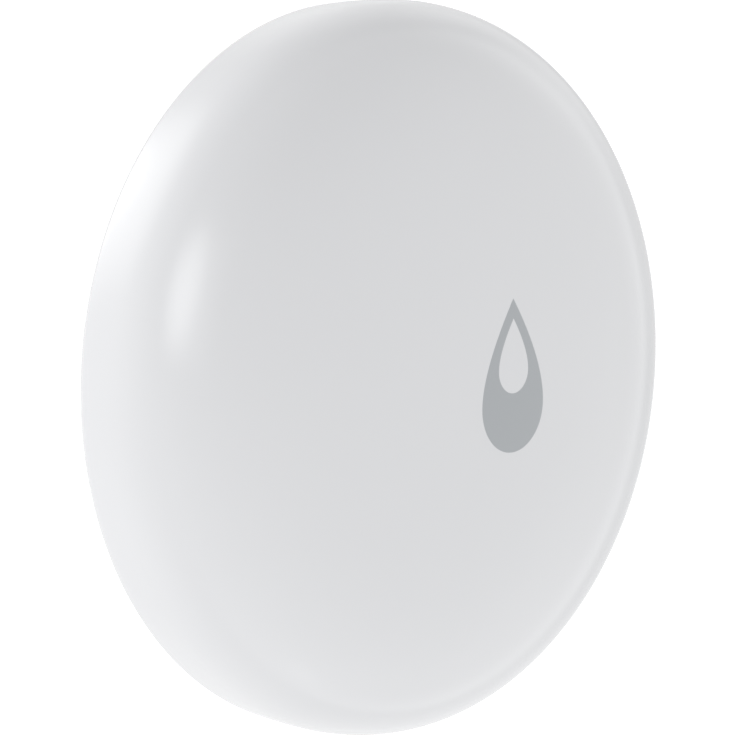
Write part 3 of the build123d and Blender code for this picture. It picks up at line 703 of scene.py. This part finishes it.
class Finish:
    """One material under construction."""

    def __init__(self, name, constants):
        self.material = bpy.data.materials.new(name)
        self.material.use_nodes = True
        self.tree = self.material.node_tree
        self.shader = self.tree.nodes["Principled BSDF"]
        fill(self.shader, constants)
        self.vector = self.add("ShaderNodeTexCoord").outputs["Object"]

    def add(self, kind, values=None, **settings):
        """A node in this material."""
        return node(self.tree, kind, values, **settings)

    def reader(self, kind, values, **settings):
        """A node that reads this material's coordinates."""
        made = self.add(kind, values, **settings)
        self.tree.links.new(self.vector, made.inputs["Vector"])
        return made

    def group(self, tree, values):
        """A shader group that reads this material's coordinates."""
        return self.reader("ShaderNodeGroup", values, node_tree=tree)

    def centre(self, x, y):
        """Moves the pattern's middle to a point on the plan."""
        move = self.reader("ShaderNodeMapping", {"Location": (-x, -y, 0.0)})
        self.vector = move.outputs["Vector"]

    def paint(self, source, socket):
        """Feeds a shader socket."""
        self.tree.links.new(source, self.shader.inputs[socket])

    def bump(self, height, distance):
        """The relief of the surface: its height pattern and how deep it is."""
        made = self.add("ShaderNodeBump", {"Strength": 1.0, "Distance": distance})
        self.tree.links.new(height, made.inputs["Height"])
        self.paint(made.outputs["Normal"], "Normal")

    def varied(self, scale, low, high, low_rough, high_rough):
        """Slow variation of colour and roughness."""
        made = self.group(
            CLOUD,
            {
                "Scale": scale, "Low Colour": (*low, 1.0), "High Colour": (*high, 1.0),
                "Low Roughness": low_rough, "High Roughness": high_rough,
            },
        )
        self.paint(made.outputs["Colour"], "Base Color")
        self.paint(made.outputs["Roughness"], "Roughness")
        return made

    def grain(self, scale, patch_scale, depth):
        """The eroded texture of the mould."""
        made = self.group(GRAIN, {"Scale": scale, "Patch Scale": patch_scale})
        self.bump(made.outputs["Height"], depth)
        return made

    def waves(self):
        """The faint waviness that a polished mould leaves."""
        values = {"Scale": WAVE_SCALE, "Detail": 1.0, "Roughness": 0.4}
        made = self.reader("ShaderNodeTexNoise", values)
        self.bump(made.outputs["Fac"], WAVE_DEPTH)


def shell_white():
    """High-gloss white plastic, with the faintest waviness."""
    made = Finish("gloss_white_plastic", {"IOR": 1.49, "Specular IOR Level": 0.5})
    made.varied(45.0, (0.621, 0.624, 0.637), (0.629, 0.632, 0.645), 0.17, 0.2)
    made.waves()
    return made.material


def symbol_grey():
    """The grey of the drop: an even, slightly less glossy plastic, with the shell's waviness."""
    made = Finish("drop_grey", {"IOR": 1.49})
    made.varied(60.0, (0.34, 0.356, 0.371), (0.344, 0.36, 0.375), 0.28, 0.31)
    made.waves()
    return made.material


def base_white(name, tone):
    """Matt white plastic from an eroded mould, polished a little where it is handled."""
    made = Finish(name, {"IOR": 1.49})
    low = tuple(0.97 * value for value in tone)
    cloud = made.varied(90.0, low, tone, 0.42, 0.55)
    grain = made.grain(scale=3200.0, patch_scale=160.0, depth=0.012 * MM)
    polish = maths(made.tree, "MULTIPLY_ADD", {1: HANDLED_POLISH})
    link(made.tree, (grain, "Smoothed", polish, 0), (cloud, "Roughness", polish, 2))
    made.paint(polish.outputs[0], "Roughness")
    return made.material


def rubber(name, tone):
    """Silicone seal: soft sheen, a fine matt skin."""
    made = Finish(name, {"IOR": 1.41})
    made.varied(300.0, tone, tuple(1.25 * value for value in tone), 0.5, 0.65)
    made.grain(scale=5000.0, patch_scale=400.0, depth=0.006 * MM)
    return made.material


def turned_metal(name, low, high, centre=(0.0, 0.0), rough=(0.16, 0.3), rings=9000.0):
    """Metal with fine turning marks round a centre."""
    made = Finish(name, {"Metallic": 1.0})
    made.centre(*centre)
    made.varied(700.0, low, high, *rough)
    marks = made.group(RINGS, {"Rings": rings, "Scatter": TURNING_SCATTER})
    made.bump(marks.outputs["Height"], TURNING_DEPTH)
    return made.material


def sheet_metal(name, low, high, rough=(0.2, 0.34), turn=0.0):
    """Rolled sheet metal: drawn-out grain along one direction."""
    made = Finish(name, {"Metallic": 1.0})
    made.varied(350.0, low, high, *rough)
    values = {"Rotation": (0.0, 0.0, math.radians(turn)), "Scale": STREAK_SCALE}
    stretch = made.reader("ShaderNodeMapping", values)
    streaks = made.add("ShaderNodeTexNoise", {"Scale": 1.0, "Detail": 3.0})
    link(made.tree, (stretch, "Vector", streaks, "Vector"))
    made.bump(streaks.outputs["Fac"], STREAK_DEPTH)
    return made.material


# Layers of tracks: direction, rows to the metre, length of a run and share of runs there
TRACK_LAYERS = [(0, 1600.0, 9.0, 0.34), (90, 1600.0, 7.0, 0.3), (45, 1100.0, 5.0, 0.12)]
TRACK_RAISE = 0.02 * MM
TRACK_GREEN = (0.02, 0.15, 0.06, 1.0)
LAMINATE = (0.26, 0.24, 0.11, 1.0)


def board_green():
    """Solder mask over etched tracks, which stand up a little; the cut sides show the laminate."""
    made = Finish("solder_mask_green", {"IOR": 1.55, "Coat Weight": 0.4, "Coat Roughness": 0.12})
    cloud = made.varied(120.0, (0.008, 0.075, 0.03), (0.01, 0.09, 0.036), 0.3, 0.36)
    geometry = made.add("ShaderNodeNewGeometry")
    split = made.add("ShaderNodeSeparateXYZ")
    flat = maths(made.tree, "ABSOLUTE")
    face = made.add("ShaderNodeMapRange", {"From Min": 0.4, "From Max": 0.6})
    link(made.tree, (geometry, "Normal", split, 0), (split, "Z", flat, 0), (flat, 0, face, "Value"))
    copper = None
    for turn, rows, run, share in TRACK_LAYERS:
        move = made.reader("ShaderNodeMapping", {"Rotation": (0.0, 0.0, math.radians(turn))})
        values = {"Rows": rows, "Run": run, "Share": share}
        tracks = made.add("ShaderNodeGroup", values, node_tree=TRACKS)
        most = maths(made.tree, "MAXIMUM", {1: 0.0})
        link(made.tree, (move, "Vector", tracks, "Vector"), (tracks, "Mask", most, 0))
        if copper is not None:
            link(made.tree, (copper, 0, most, 1))
        copper = most
    raised = maths(made.tree, "MULTIPLY")
    over = made.add("ShaderNodeMix", {7: TRACK_GREEN}, data_type="RGBA")
    cut = made.add("ShaderNodeMix", {6: LAMINATE}, data_type="RGBA")
    link(
        made.tree,
        (copper, 0, raised, 0),
        (face, "Result", raised, 1),
        (copper, 0, over, 0),
        (cloud, "Colour", over, 6),
        (face, "Result", cut, 0),
        (over, 2, cut, 7),
    )
    made.paint(cut.outputs[2], "Base Color")
    made.bump(raised.outputs[0], TRACK_RAISE)
    return made.material


def plain_plastic(name, low, high, rough=(0.3, 0.45), grain_scale=4000.0):
    """Moulded plastic, epoxy or ceramic of small parts."""
    made = Finish(name, {"IOR": 1.5})
    made.varied(400.0, low, high, *rough)
    made.grain(grain_scale, patch_scale=500.0, depth=0.004 * MM)
    return made.material


def led_lens():
    """The clear yellowish body of the status light."""
    made = Finish("status_light_lens", {"IOR": 1.5, "Transmission Weight": 0.35})
    made.varied(900.0, (0.8, 0.78, 0.62), (0.85, 0.83, 0.7), 0.12, 0.2)
    made.grain(scale=6000.0, patch_scale=900.0, depth=0.002 * MM)
    return made.material


def probe_steel(side):
    """Stainless steel of one probe, with its turning marks round the screw's own middle."""
    low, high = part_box("probe_screw_" + side)
    middle = (low + high) / 2
    return turned_metal("probe_steel_" + side, PROBE_LOW, PROBE_HIGH, (middle.x, middle.y))


STEEL_LOW, STEEL_HIGH = (0.53, 0.52, 0.5), (0.6, 0.59, 0.575)
PROBE_LOW, PROBE_HIGH = (0.6, 0.59, 0.57), (0.68, 0.67, 0.655)
LATHE = lathe_tree()
RING = ring_tree()
CHIPS = chip_tree()

SHELL_WHITE = shell_white()
SYMBOL_GREY = symbol_grey()
BASE_WHITE = base_white("matt_white_plastic", (0.63, 0.635, 0.638))
COVER_WHITE = base_white("battery_cover_plastic", (0.615, 0.62, 0.625))
SEAL_RUBBER = rubber("seal_silicone", (0.045, 0.048, 0.052))
PROBE_LEFT = probe_steel("left")
PROBE_RIGHT = probe_steel("right")
CELL_STEEL = turned_metal("cell_steel", STEEL_LOW, STEEL_HIGH, rough=(0.2, 0.3), rings=3500.0)
CAP_STEEL = turned_metal(
    "cell_cap_steel", (0.5, 0.49, 0.48), (0.57, 0.56, 0.55), rough=(0.25, 0.38), rings=2500.0
)
SHEET_STEEL = sheet_metal("sheet_steel", STEEL_LOW, STEEL_HIGH)
SCREW_STEEL = sheet_metal("screw_steel", (0.45, 0.44, 0.42), (0.55, 0.54, 0.52), (0.25, 0.4), 30.0)
BRASS = turned_metal("brass", (0.62, 0.45, 0.2), (0.72, 0.54, 0.27), rough=(0.2, 0.32))
COPPER = sheet_metal("copper_strip", (0.66, 0.33, 0.2), (0.76, 0.42, 0.27))
SPRING_METAL = sheet_metal("contact_spring", (0.6, 0.57, 0.5), (0.68, 0.65, 0.57), (0.18, 0.3), 90.0)
TIN = sheet_metal("tinned_end", (0.62, 0.62, 0.61), (0.67, 0.67, 0.66), (0.3, 0.38))
BOARD_GREEN = board_green()
BLACK_PLASTIC = plain_plastic("black_epoxy", (0.014, 0.014, 0.015), (0.022, 0.022, 0.023))
SWITCH_BLACK = plain_plastic("switch_nylon", (0.02, 0.02, 0.021), (0.03, 0.03, 0.031), (0.4, 0.55))
GASKET_PLASTIC = plain_plastic("gasket_nylon", (0.2, 0.2, 0.19), (0.26, 0.26, 0.25), (0.4, 0.5))
TANTALUM = plain_plastic("tantalum_yellow", (0.56, 0.3, 0.03), (0.64, 0.36, 0.045))
CERAMIC = plain_plastic("part_ceramic", (0.16, 0.1, 0.065), (0.24, 0.16, 0.1), (0.3, 0.42), 7000.0)
LED_LENS = led_lens()

# Each finish with the CAD nodes that wear it
CAD_FINISHES = [
    (BASE_WHITE, "base_plate"),
    (COVER_WHITE, "battery_cover"),
    (SEAL_RUBBER, "case_seal", "battery_cover_seal", "probe_seal_left", "probe_seal_right"),
    (CELL_STEEL, "cell_can"),
    (CAP_STEEL, "cell_cap"),
    (GASKET_PLASTIC, "cell_gasket"),
    (PROBE_LEFT, "probe_screw_left"),
    (PROBE_RIGHT, "probe_screw_right"),
    (BRASS, "probe_pillar_left", "probe_pillar_right"),
    (BOARD_GREEN, "circuit_board", "radio_board"),
    (SCREW_STEEL, "board_screws"),
    (SWITCH_BLACK, "switch_body", "switch_plunger"),
    (SHEET_STEEL, "switch_frame", "crystal"),
    (BLACK_PLASTIC, "radio_chip", "control_chip"),
    (TIN, "radio_shield"),
    (COPPER, "antenna"),
    (LED_LENS, "status_led"),
    (TANTALUM, "capacitor"),
    (SPRING_METAL, "negative_contact", "positive_clip"),
]


def finish_cad_nodes():
    """Gives each CAD node that stays its own finish."""
    for finish, *names in CAD_FINISHES:
        for name in names:
            kept = frame["nodes"][name]
            kept.data.materials.clear()
            kept.data.materials.append(finish)


# Pieces

HOOK_COUNT = 4
HOOK_START = 45
HOOK_ANGLE = 14
HOOK_Z = 3.1 * MM
HOOK_H = 0.9 * MM
HOOK_LEAD = 0.35 * MM
HOOK_REACH = 0.75 * MM
HOOK_ROOT = 0.3 * MM
HOOK_FOOT = 0.2 * MM
HOOK_STEPS = 12
BOSS_R = 1.7 * MM
BOSS_ROOT_SHARE = 1.06
BOSS_TIP_Z = 9.85 * MM
BOSS_ROUND = 0.2 * MM
BOSS_STEPS = 6
RIB_L = 9.0 * MM
RIB_W = 0.8 * MM
RIB_TOP_W = 1.1 * MM
RIB_Z = 11.8 * MM
ROOT_DEPTH = 0.3 * MM
SHELL_SEGMENTS = 288
SMALL_SEGMENTS = 64


def hook():
    """One snap hook inside the skirt, centred on +X."""
    root = BORE_R + HOOK_ROOT
    tip = BORE_R - HOOK_REACH
    foot = BORE_R - HOOK_FOOT
    top = HOOK_Z + HOOK_H
    section = [(root, HOOK_Z), (foot, HOOK_Z), (tip, HOOK_Z + HOOK_LEAD), (tip, top), (root, top)]
    vertices = []
    for step in range(HOOK_STEPS + 1):
        angle = math.radians(HOOK_ANGLE * (step / HOOK_STEPS - 0.5))
        vertices += [(r * math.cos(angle), r * math.sin(angle), z) for r, z in section]
    size = len(section)
    last = HOOK_STEPS * size
    faces = [tuple(range(size)), tuple(range(last + size - 1, last - 1, -1))]
    for step in range(HOOK_STEPS):
        for corner in range(size):
            a = step * size + corner
            b = step * size + (corner + 1) % size
            faces.append((a, b, b + size, a + size))
    return mesh_object("hook", vertices, faces)


def rib(along_x):
    """One rib under the crown, drafted so that it leaves the mould."""
    half_l, half_w, half_t = RIB_L / 2, RIB_W / 2, RIB_TOP_W / 2
    top = CEILING_Z + ROOT_DEPTH
    vertices = []
    for z, w in ((RIB_Z, half_w), (top, half_t)):
        for sx, sy in ((-1, -1), (1, -1), (1, 1), (-1, 1)):
            x, y = sx * half_l, sy * w
            vertices.append((x, y, z) if along_x else (-y, x, z))
    faces = [(3, 2, 1, 0), (4, 5, 6, 7), (0, 1, 5, 4), (1, 2, 6, 5), (2, 3, 7, 6), (3, 0, 4, 7)]
    made = mesh_object("rib", vertices, faces)
    tidy_mesh(made.data)
    made.data.materials.append(SHELL_WHITE)
    return made


def press_boss():
    """The round boss that presses the switch, with a rounded tip."""
    tip = arc((BOSS_R - BOSS_ROUND, BOSS_TIP_Z + BOSS_ROUND), BOSS_ROUND, 0, -90, BOSS_STEPS)
    top = CEILING_Z + ROOT_DEPTH
    section = np.vstack([[(0, top), (BOSS_R * BOSS_ROOT_SHARE, top)], tip, [(0, BOSS_TIP_Z)]])
    return turned("press_boss", section, SHELL_WHITE, SMALL_SEGMENTS)


def shell():
    """The gloss shell with its hooks, boss and ribs."""
    dome = turned("dome", shell_section(), SHELL_WHITE, SHELL_SEGMENTS, BODY_R / 2)
    hooks = ringed("hooks", hook(), HOOK_COUNT, HOOK_START, SHELL_WHITE)
    made = merged("shell_dome", dome, hooks, press_boss(), rib(True), rib(False))
    smooth_by_angle(made.data, FINE_CREASE_DEGREES)
    return give(made, None, "shell", "shell_white", "top_cover")


def drop_loop(radius, tip, centre_y, count):
    """The outline of a drop on the plan, anticlockwise from its right shoulder."""
    shoulder = centre_y + DROP_SIDE_SHARE * radius
    share = np.linspace(0, 1, count)[:, None]
    right = np.array([radius, centre_y])
    bend = np.array([radius, shoulder])
    top = np.array([0, centre_y + tip])
    side = (1 - share) ** 2 * right + 2 * (1 - share) * share * bend + share**2 * top
    other = side[::-1][1:] * (-1, 1)
    bowl = arc((0, centre_y), radius, 180, 360, 2 * count)[1:-1]
    return np.vstack([side, other, bowl]) + (DROP_CENTRE_X, 0)


def inside(point, loop):
    """Whether a point lies inside a closed outline."""
    x, y = point
    ax, ay = loop[:, 0], loop[:, 1]
    bx, by = np.roll(ax, -1), np.roll(ay, -1)
    crosses = (ay > y) != (by > y)
    with np.errstate(divide="ignore", invalid="ignore"):
        at = ax + (y - ay) * (bx - ax) / (by - ay)
    return bool(np.count_nonzero(crosses & (at > x)) % 2)


def gap_to(point, loop):
    """Distance from a point to the nearest corner of an outline."""
    return float(np.min(np.hypot(loop[:, 0] - point[0], loop[:, 1] - point[1])))


def drop_grid(outer, eye):
    """Evenly spread points inside the drop, clear of both of its outlines."""
    low_y = DROP_CENTRE_Y - DROP_R
    rows = int((DROP_TIP + DROP_R) / DROP_GRID) + 1
    columns = int(DROP_R / DROP_GRID) + 1
    points = []
    for row in range(rows):
        for column in range(-columns, columns + 1):
            across = (column + row % 2 / 2) * DROP_GRID
            spot = (DROP_CENTRE_X + across, low_y + row * DROP_GRID)
            clear = min(gap_to(spot, outer), gap_to(spot, eye)) > DROP_GRID / 2
            if clear and inside(spot, outer) and not inside(spot, eye):
                points.append(spot)
    return points


def drop_triangles(outer, eye):
    """The drop on the plan: its points, and the triangles between its two outlines."""
    points = [tuple(p) for p in outer] + [tuple(p) for p in eye]
    edges = [(i, (i + 1) % len(outer)) for i in range(len(outer))]
    edges += [(len(outer) + i, len(outer) + (i + 1) % len(eye)) for i in range(len(eye))]
    points += drop_grid(outer, eye)
    scaled = [Vector((x / MM, y / MM)) for x, y in points]
    flat, _, triangles, *_ = delaunay_2d_cdt(scaled, edges, [], 0, DROP_SAME_POINT)
    flat = [(x * MM, y * MM) for x, y in flat]
    kept = []
    for triangle in triangles:
        middle = np.mean([flat[i] for i in triangle], axis=0)
        if inside(middle, outer) and not inside(middle, eye):
            kept.append(tuple(triangle))
    return flat, kept


def drop():
    """The grey drop with its open eye, lying flush on the curve of the crown."""
    outer = drop_loop(DROP_R, DROP_TIP, DROP_CENTRE_Y, DROP_STEPS)
    eye = drop_loop(DROP_EYE_R, DROP_EYE_TIP, DROP_CENTRE_Y + DROP_EYE_RAISE, DROP_EYE_STEPS)
    flat, kept = drop_triangles(outer, eye)
    count = len(flat)
    heights = [crown_height(math.hypot(x, y)) for x, y in flat]
    vertices = [(x, y, z + DROP_PROUD) for (x, y), z in zip(flat, heights)]
    vertices += [(x, y, z - DROP_SUNK) for (x, y), z in zip(flat, heights)]
    faces = kept + [tuple(i + count for i in reversed(t)) for t in kept]
    sides = [side for a, b, c in kept for side in ((a, b), (b, c), (c, a))]
    shared = set(sides)
    for one, two in sides:
        if (two, one) not in shared:
            faces.append((two, one, one + count, two + count))
    made = mesh_object("water_drop", vertices, faces)
    work = bmesh.new()
    work.from_mesh(made.data)
    bmesh.ops.delete(work, geom=[v for v in work.verts if not v.link_faces], context="VERTS")
    bmesh.ops.recalc_face_normals(work, faces=work.faces)
    work.to_mesh(made.data)
    work.free()
    smooth_by_angle(made.data, FINE_CREASE_DEGREES)
    return give(made, SYMBOL_GREY, "shell", "symbol_grey", "drop_symbol")


DOME_R = 1.3 * MM
DOME_T = 0.06 * MM
DOME_STEPS = 16


def snap_dome():
    """The thin pressed dome under the plunger, turned at rest; the real one flattens as the switch is
    pressed.
    """
    low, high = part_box("switch_dome")
    rise = high.z - low.z
    ball = (DOME_R**2 + rise**2) / (2 * rise)
    reach = math.degrees(math.asin(DOME_R / ball))
    middle = (0, high.z - ball)
    over = arc(middle, ball, 90 - reach, 90, DOME_STEPS)
    under = arc(middle, ball - DOME_T, 90, 90 - reach, DOME_STEPS)
    under[:, 1] = np.maximum(under[:, 1], low.z)
    over[-1, 0] = 0
    under[0, 0] = 0
    section = np.vstack([under, over])
    made = turned("snap_dome", section, SHEET_STEEL, SMALL_SEGMENTS)
    give(made, None, "base", "steel", "switch_dome")
    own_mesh(made)
    return made


BOARD_R = 21.4 * MM
BOARD_TOP_Z = 7.6 * MM
CHIP_L = 1.6 * MM
CHIP_W = 0.8 * MM
CHIP_H = 0.5 * MM
CHIP_END_L = 0.3 * MM
CHIP_SKIN = 0.03 * MM
CHIP_PLACE_SHARES = [
    (0.22, -0.3, 0), (0.22, -0.4, 0), (-0.22, -0.3, 0), (-0.22, -0.4, 0),
    (0.42, -0.16, 90), (0.5, -0.16, 90), (-0.42, -0.16, 90), (-0.5, -0.16, 90),
    (0.36, -0.56, 0), (-0.36, -0.56, 0), (0.12, 0.62, 0), (0.24, 0.66, 0),
    (0.6, 0.36, 90), (0.2, 0.42, 90), (0.0, -0.62, 0), (0.0, -0.72, 0),
]
VIA_COUNT = 40
VIA_START = 4
VIA_STEPS = 14
VIA_R = 0.3 * MM
VIA_HOLE_R = 0.15 * MM
VIA_T = 0.03 * MM
VIA_INSET = 0.7 * MM


def chip_parts():
    """The small resistors and capacitors of the board, with tinned ends."""
    places = [(x * BOARD_R, y * BOARD_R, BOARD_TOP_Z) for x, y, _ in CHIP_PLACE_SHARES]
    seed = mesh_object("chip_places", places, [])
    turn = seed.data.attributes.new("turn", "FLOAT", "POINT")
    for spot, (_, _, degrees) in zip(turn.data, CHIP_PLACE_SHARES):
        spot.value = math.radians(degrees)
    values = {
        "Length": CHIP_L, "Width": CHIP_W, "Height": CHIP_H, "End Length": CHIP_END_L, "Skin": CHIP_SKIN,
        "Body Finish": CERAMIC, "End Finish": TIN,
    }
    made = grown(seed, CHIPS, "chip_parts", values)
    return give(made, None, "base", "component_ceramic", "chip_components")


def stitching_vias():
    """The ring of plated holes along the board's edge."""
    middle = BOARD_R - VIA_INSET
    section = [(VIA_R, 0), (VIA_R, VIA_T), (VIA_HOLE_R, VIA_T), (VIA_HOLE_R, 0)]
    vertices = []
    for radius, z in section:
        for step in range(VIA_STEPS):
            angle = math.tau * step / VIA_STEPS
            x = middle + radius * math.cos(angle)
            vertices.append((x, radius * math.sin(angle), BOARD_TOP_Z + z))
    faces = []
    for row in range(len(section)):
        low = row * VIA_STEPS
        up = (row + 1) % len(section) * VIA_STEPS
        for step in range(VIA_STEPS):
            after = (step + 1) % VIA_STEPS
            faces.append((low + step, low + after, up + after, up + step))
    one = mesh_object("via", vertices, faces)
    tidy_mesh(one.data)
    made = ringed("stitching_vias", one, VIA_COUNT, VIA_START, COPPER)
    return give(made, None, "base", "copper")


# Studio

FLOOR_SIDE = 3.0
FLOOR_DROP = 0.01 * MM
FLOOR_TONE = 0.6
FLOOR_GLOW = 0.6

# Studio surroundings: their tint, how softly they meet at the horizon, the brightness of
# the sky and of the white floor's bounce, and how each changes towards +X, +Y and +Z
STUDIO_TINT = (0.997, 0.999, 1.0, 1.0)
HORIZON = {"From Min": -0.03, "From Max": 0.03}
SKY_LEVEL = 1.17
SKY_TURN = (0.25, -0.351, -0.234)
GROUND_LEVEL = 0.67
GROUND_TURN = (0.02, -0.267, -0.36)

# On the +X side a low band of the backdrop is darker: its height, how wide and how dark
SEAM_HEIGHT = 0.2
SEAM_BAND = {"From Min": 0.04, "From Max": 0.2, "To Min": 1.0, "To Max": 0.0}
SEAM_SIDE = {"From Min": 0.0, "From Max": 0.5}
SEAM_SHARE = 0.85

# Soft patches around the sensor, in degrees: azimuth, elevation, outer and inner angle;
# and how much brighter each is
SOFT_PATCHES = [
    (156, 12, 20, 3, 2.1),
    (154, 6, 21, 3, 0.6),
    (157, 20, 21, 3, 0.6),
    (118, -45, 42, 8, 0.38),
    (120, -54, 25, 5, 1.7),
    (112, -62, 12, 3, 2.5),
    (148, -45, 42, 8, 0.15),
    (205, -30, 50, 10, 0.3),
    (-105, -45, 40, 8, 0.15),
    (-45, -15, 25, 6, 0.1),
    (74, 36, 42, 5, -0.15),
    (30, -6, 26, 6, 0.4),
    (15, 0, 25, 5, 0.2),
    (45, -30, 28, 6, 0.3),
    (-84, 13, 5, 1, 0.8),
]

# The soft box: its direction in degrees, distance, size and power in watts
BOX_AZIMUTH = 157
BOX_ELEVATION = 19
BOX_DISTANCE = 0.6
BOX_WIDTH = 0.37
BOX_HEIGHT = 0.53
BOX_POWER = 0.3


def floor():
    """A plain white floor, seen from above only; the world stands in for its bounce."""
    half = FLOOR_SIDE / 2
    corners = [(-half, -half), (half, -half), (half, half), (-half, half)]
    made = mesh_object("floor", [(x, y, -FLOOR_DROP) for x, y in corners], [(0, 1, 2, 3)])
    material = bpy.data.materials.new("floor_white")
    material.use_nodes = True
    tree = material.node_tree
    shader = tree.nodes["Principled BSDF"]
    fill(shader, {
        "Base Color": (FLOOR_TONE, FLOOR_TONE, FLOOR_TONE, 1.0), "Emission Color": (1.0, 1.0, 1.0, 1.0),
        "Emission Strength": FLOOR_GLOW, "Roughness": 0.9, "Specular IOR Level": 0.0,
    })
    facing = node(tree, "ShaderNodeNewGeometry")
    clear = node(tree, "ShaderNodeBsdfTransparent")
    blend = node(tree, "ShaderNodeMixShader")
    link(
        tree,
        (facing, "Backfacing", blend, "Fac"),
        (shader, 0, blend, 1),
        (clear, 0, blend, 2),
        (blend, 0, tree.nodes["Material Output"], "Surface"),
    )
    made.data.materials.append(material)
    for kind in ("diffuse", "glossy", "transmission", "shadow"):
        setattr(made, "visible_" + kind, False)
    return made


def patch_group():
    """A soft round patch of brightness around one direction."""
    tree, start, end = new_group(
        SHADER_TREE, "soft patch",
        [("Direction", VECTOR), ("Centre", VECTOR), ("Edge", FLOAT), ("Core", FLOAT), ("Gain", FLOAT)],
        [("Brightness", FLOAT)],
    )
    facing = node(tree, "ShaderNodeVectorMath", operation="DOT_PRODUCT")
    ease = ramp(tree)
    link(
        tree,
        (start, "Direction", facing, 0),
        (start, "Centre", facing, 1),
        (facing, "Value", ease, "Value"),
        (start, "Edge", ease, "From Min"),
        (start, "Core", ease, "From Max"),
        (start, "Gain", ease, "To Max"),
        (ease, "Result", end, "Brightness"),
    )
    return tree


def direction(azimuth, elevation):
    """The unit vector towards an azimuth, from +X to +Y, and an elevation."""
    turn, rise = math.radians(azimuth), math.radians(elevation)
    return Vector((math.cos(rise) * math.cos(turn), math.cos(rise) * math.sin(turn), math.sin(rise)))


def world():
    """Soft studio surroundings that light the sensor; the camera itself sees plain white."""
    made = bpy.data.worlds.new("studio")
    made.use_nodes = True
    tree = made.node_tree
    back = tree.nodes["Background"]
    where = node(tree, "ShaderNodeTexCoord")
    over = node(tree, "ShaderNodeVectorMath", {1: SKY_TURN}, operation="DOT_PRODUCT")
    under = node(tree, "ShaderNodeVectorMath", {1: GROUND_TURN}, operation="DOT_PRODUCT")
    sky = maths(tree, "ADD", {1: SKY_LEVEL})
    ground = maths(tree, "ADD", {1: GROUND_LEVEL})
    split = node(tree, "ShaderNodeSeparateXYZ")
    edge = node(tree, "ShaderNodeMapRange", HORIZON)
    blend = node(tree, "ShaderNodeMix", data_type="FLOAT")
    height = maths(tree, "SUBTRACT", {1: SEAM_HEIGHT})
    off = maths(tree, "ABSOLUTE")
    band = ramp(tree, SEAM_BAND)
    side = ramp(tree, SEAM_SIDE)
    seam = maths(tree, "MULTIPLY")
    dark = maths(tree, "MULTIPLY", {1: SEAM_SHARE})
    level = node(tree, "ShaderNodeMix", data_type="FLOAT")
    link(
        tree,
        (where, "Generated", over, 0),
        (where, "Generated", under, 0),
        (where, "Generated", split, 0),
        (over, "Value", sky, 0),
        (under, "Value", ground, 0),
        (split, "Z", edge, "Value"),
        (edge, "Result", blend, 0),
        (ground, 0, blend, 2),
        (sky, 0, blend, 3),
        (split, "Z", height, 0),
        (height, 0, off, 0),
        (off, 0, band, "Value"),
        (split, "X", side, "Value"),
        (band, "Result", seam, 0),
        (side, "Result", seam, 1),
        (blend, 0, dark, 0),
        (seam, 0, level, 0),
        (blend, 0, level, 2),
        (dark, 0, level, 3),
    )
    total = level
    patch = patch_group()
    for azimuth, elevation, outer, inner, gain in SOFT_PATCHES:
        values = {
            "Centre": direction(azimuth, elevation), "Edge": math.cos(math.radians(outer)),
            "Core": math.cos(math.radians(inner)), "Gain": gain,
        }
        spot = node(tree, "ShaderNodeGroup", values, node_tree=patch)
        add = maths(tree, "ADD")
        link(
            tree,
            (where, "Generated", spot, "Direction"),
            (total, 0, add, 0),
            (spot, "Brightness", add, 1),
        )
        total = add
    seen = node(tree, "ShaderNodeLightPath")
    plain = node(tree, "ShaderNodeMix", {3: 1.0}, data_type="FLOAT")
    link(tree, (seen, "Is Camera Ray", plain, 0), (total, 0, plain, 2), (plain, 0, back, "Strength"))
    back.inputs["Color"].default_value = STUDIO_TINT
    bpy.context.scene.world = made


def shoulder_box():
    """A low soft box on the camera's side, which makes the streak on the shoulder."""
    data = bpy.data.lights.new("shoulder_box", "AREA")
    data.shape = "RECTANGLE"
    data.size = BOX_WIDTH
    data.size_y = BOX_HEIGHT
    data.energy = BOX_POWER
    made = new_object("shoulder_box", data)
    way = direction(BOX_AZIMUTH, BOX_ELEVATION)
    made.location = way * BOX_DISTANCE
    made.rotation_mode = "QUATERNION"
    made.rotation_quaternion = way.to_track_quat("Z", "Y")
    made.visible_camera = False


def camera():
    """The photograph's viewpoint, with the drop's point up in the picture."""
    data = bpy.data.cameras.new("camera")
    data.lens = CAMERA_LENS
    data.sensor_width = CAMERA_SENSOR
    data.clip_start = CAMERA_NEAR
    data.clip_end = CAMERA_FAR
    made = new_object("camera", data)
    columns = Matrix((CAMERA_RIGHT, CAMERA_UP, CAMERA_BACK)).transposed()
    made.matrix_world = Matrix.Translation(CAMERA_PLACE) @ columns.to_4x4()
    bpy.context.scene.camera = made


def look():
    """Plain colour handling, so that white stays white."""
    settings = bpy.context.scene.view_settings
    settings.view_transform = "Standard"
    settings.look = "None"
    settings.exposure = 0.0
    settings.gamma = 1.0


finish_cad_nodes()
shell()
drop()
snap_dome()
chip_parts()
stitching_vias()
floor()
world()
shoulder_box()
camera()
look()
lay_out_all()
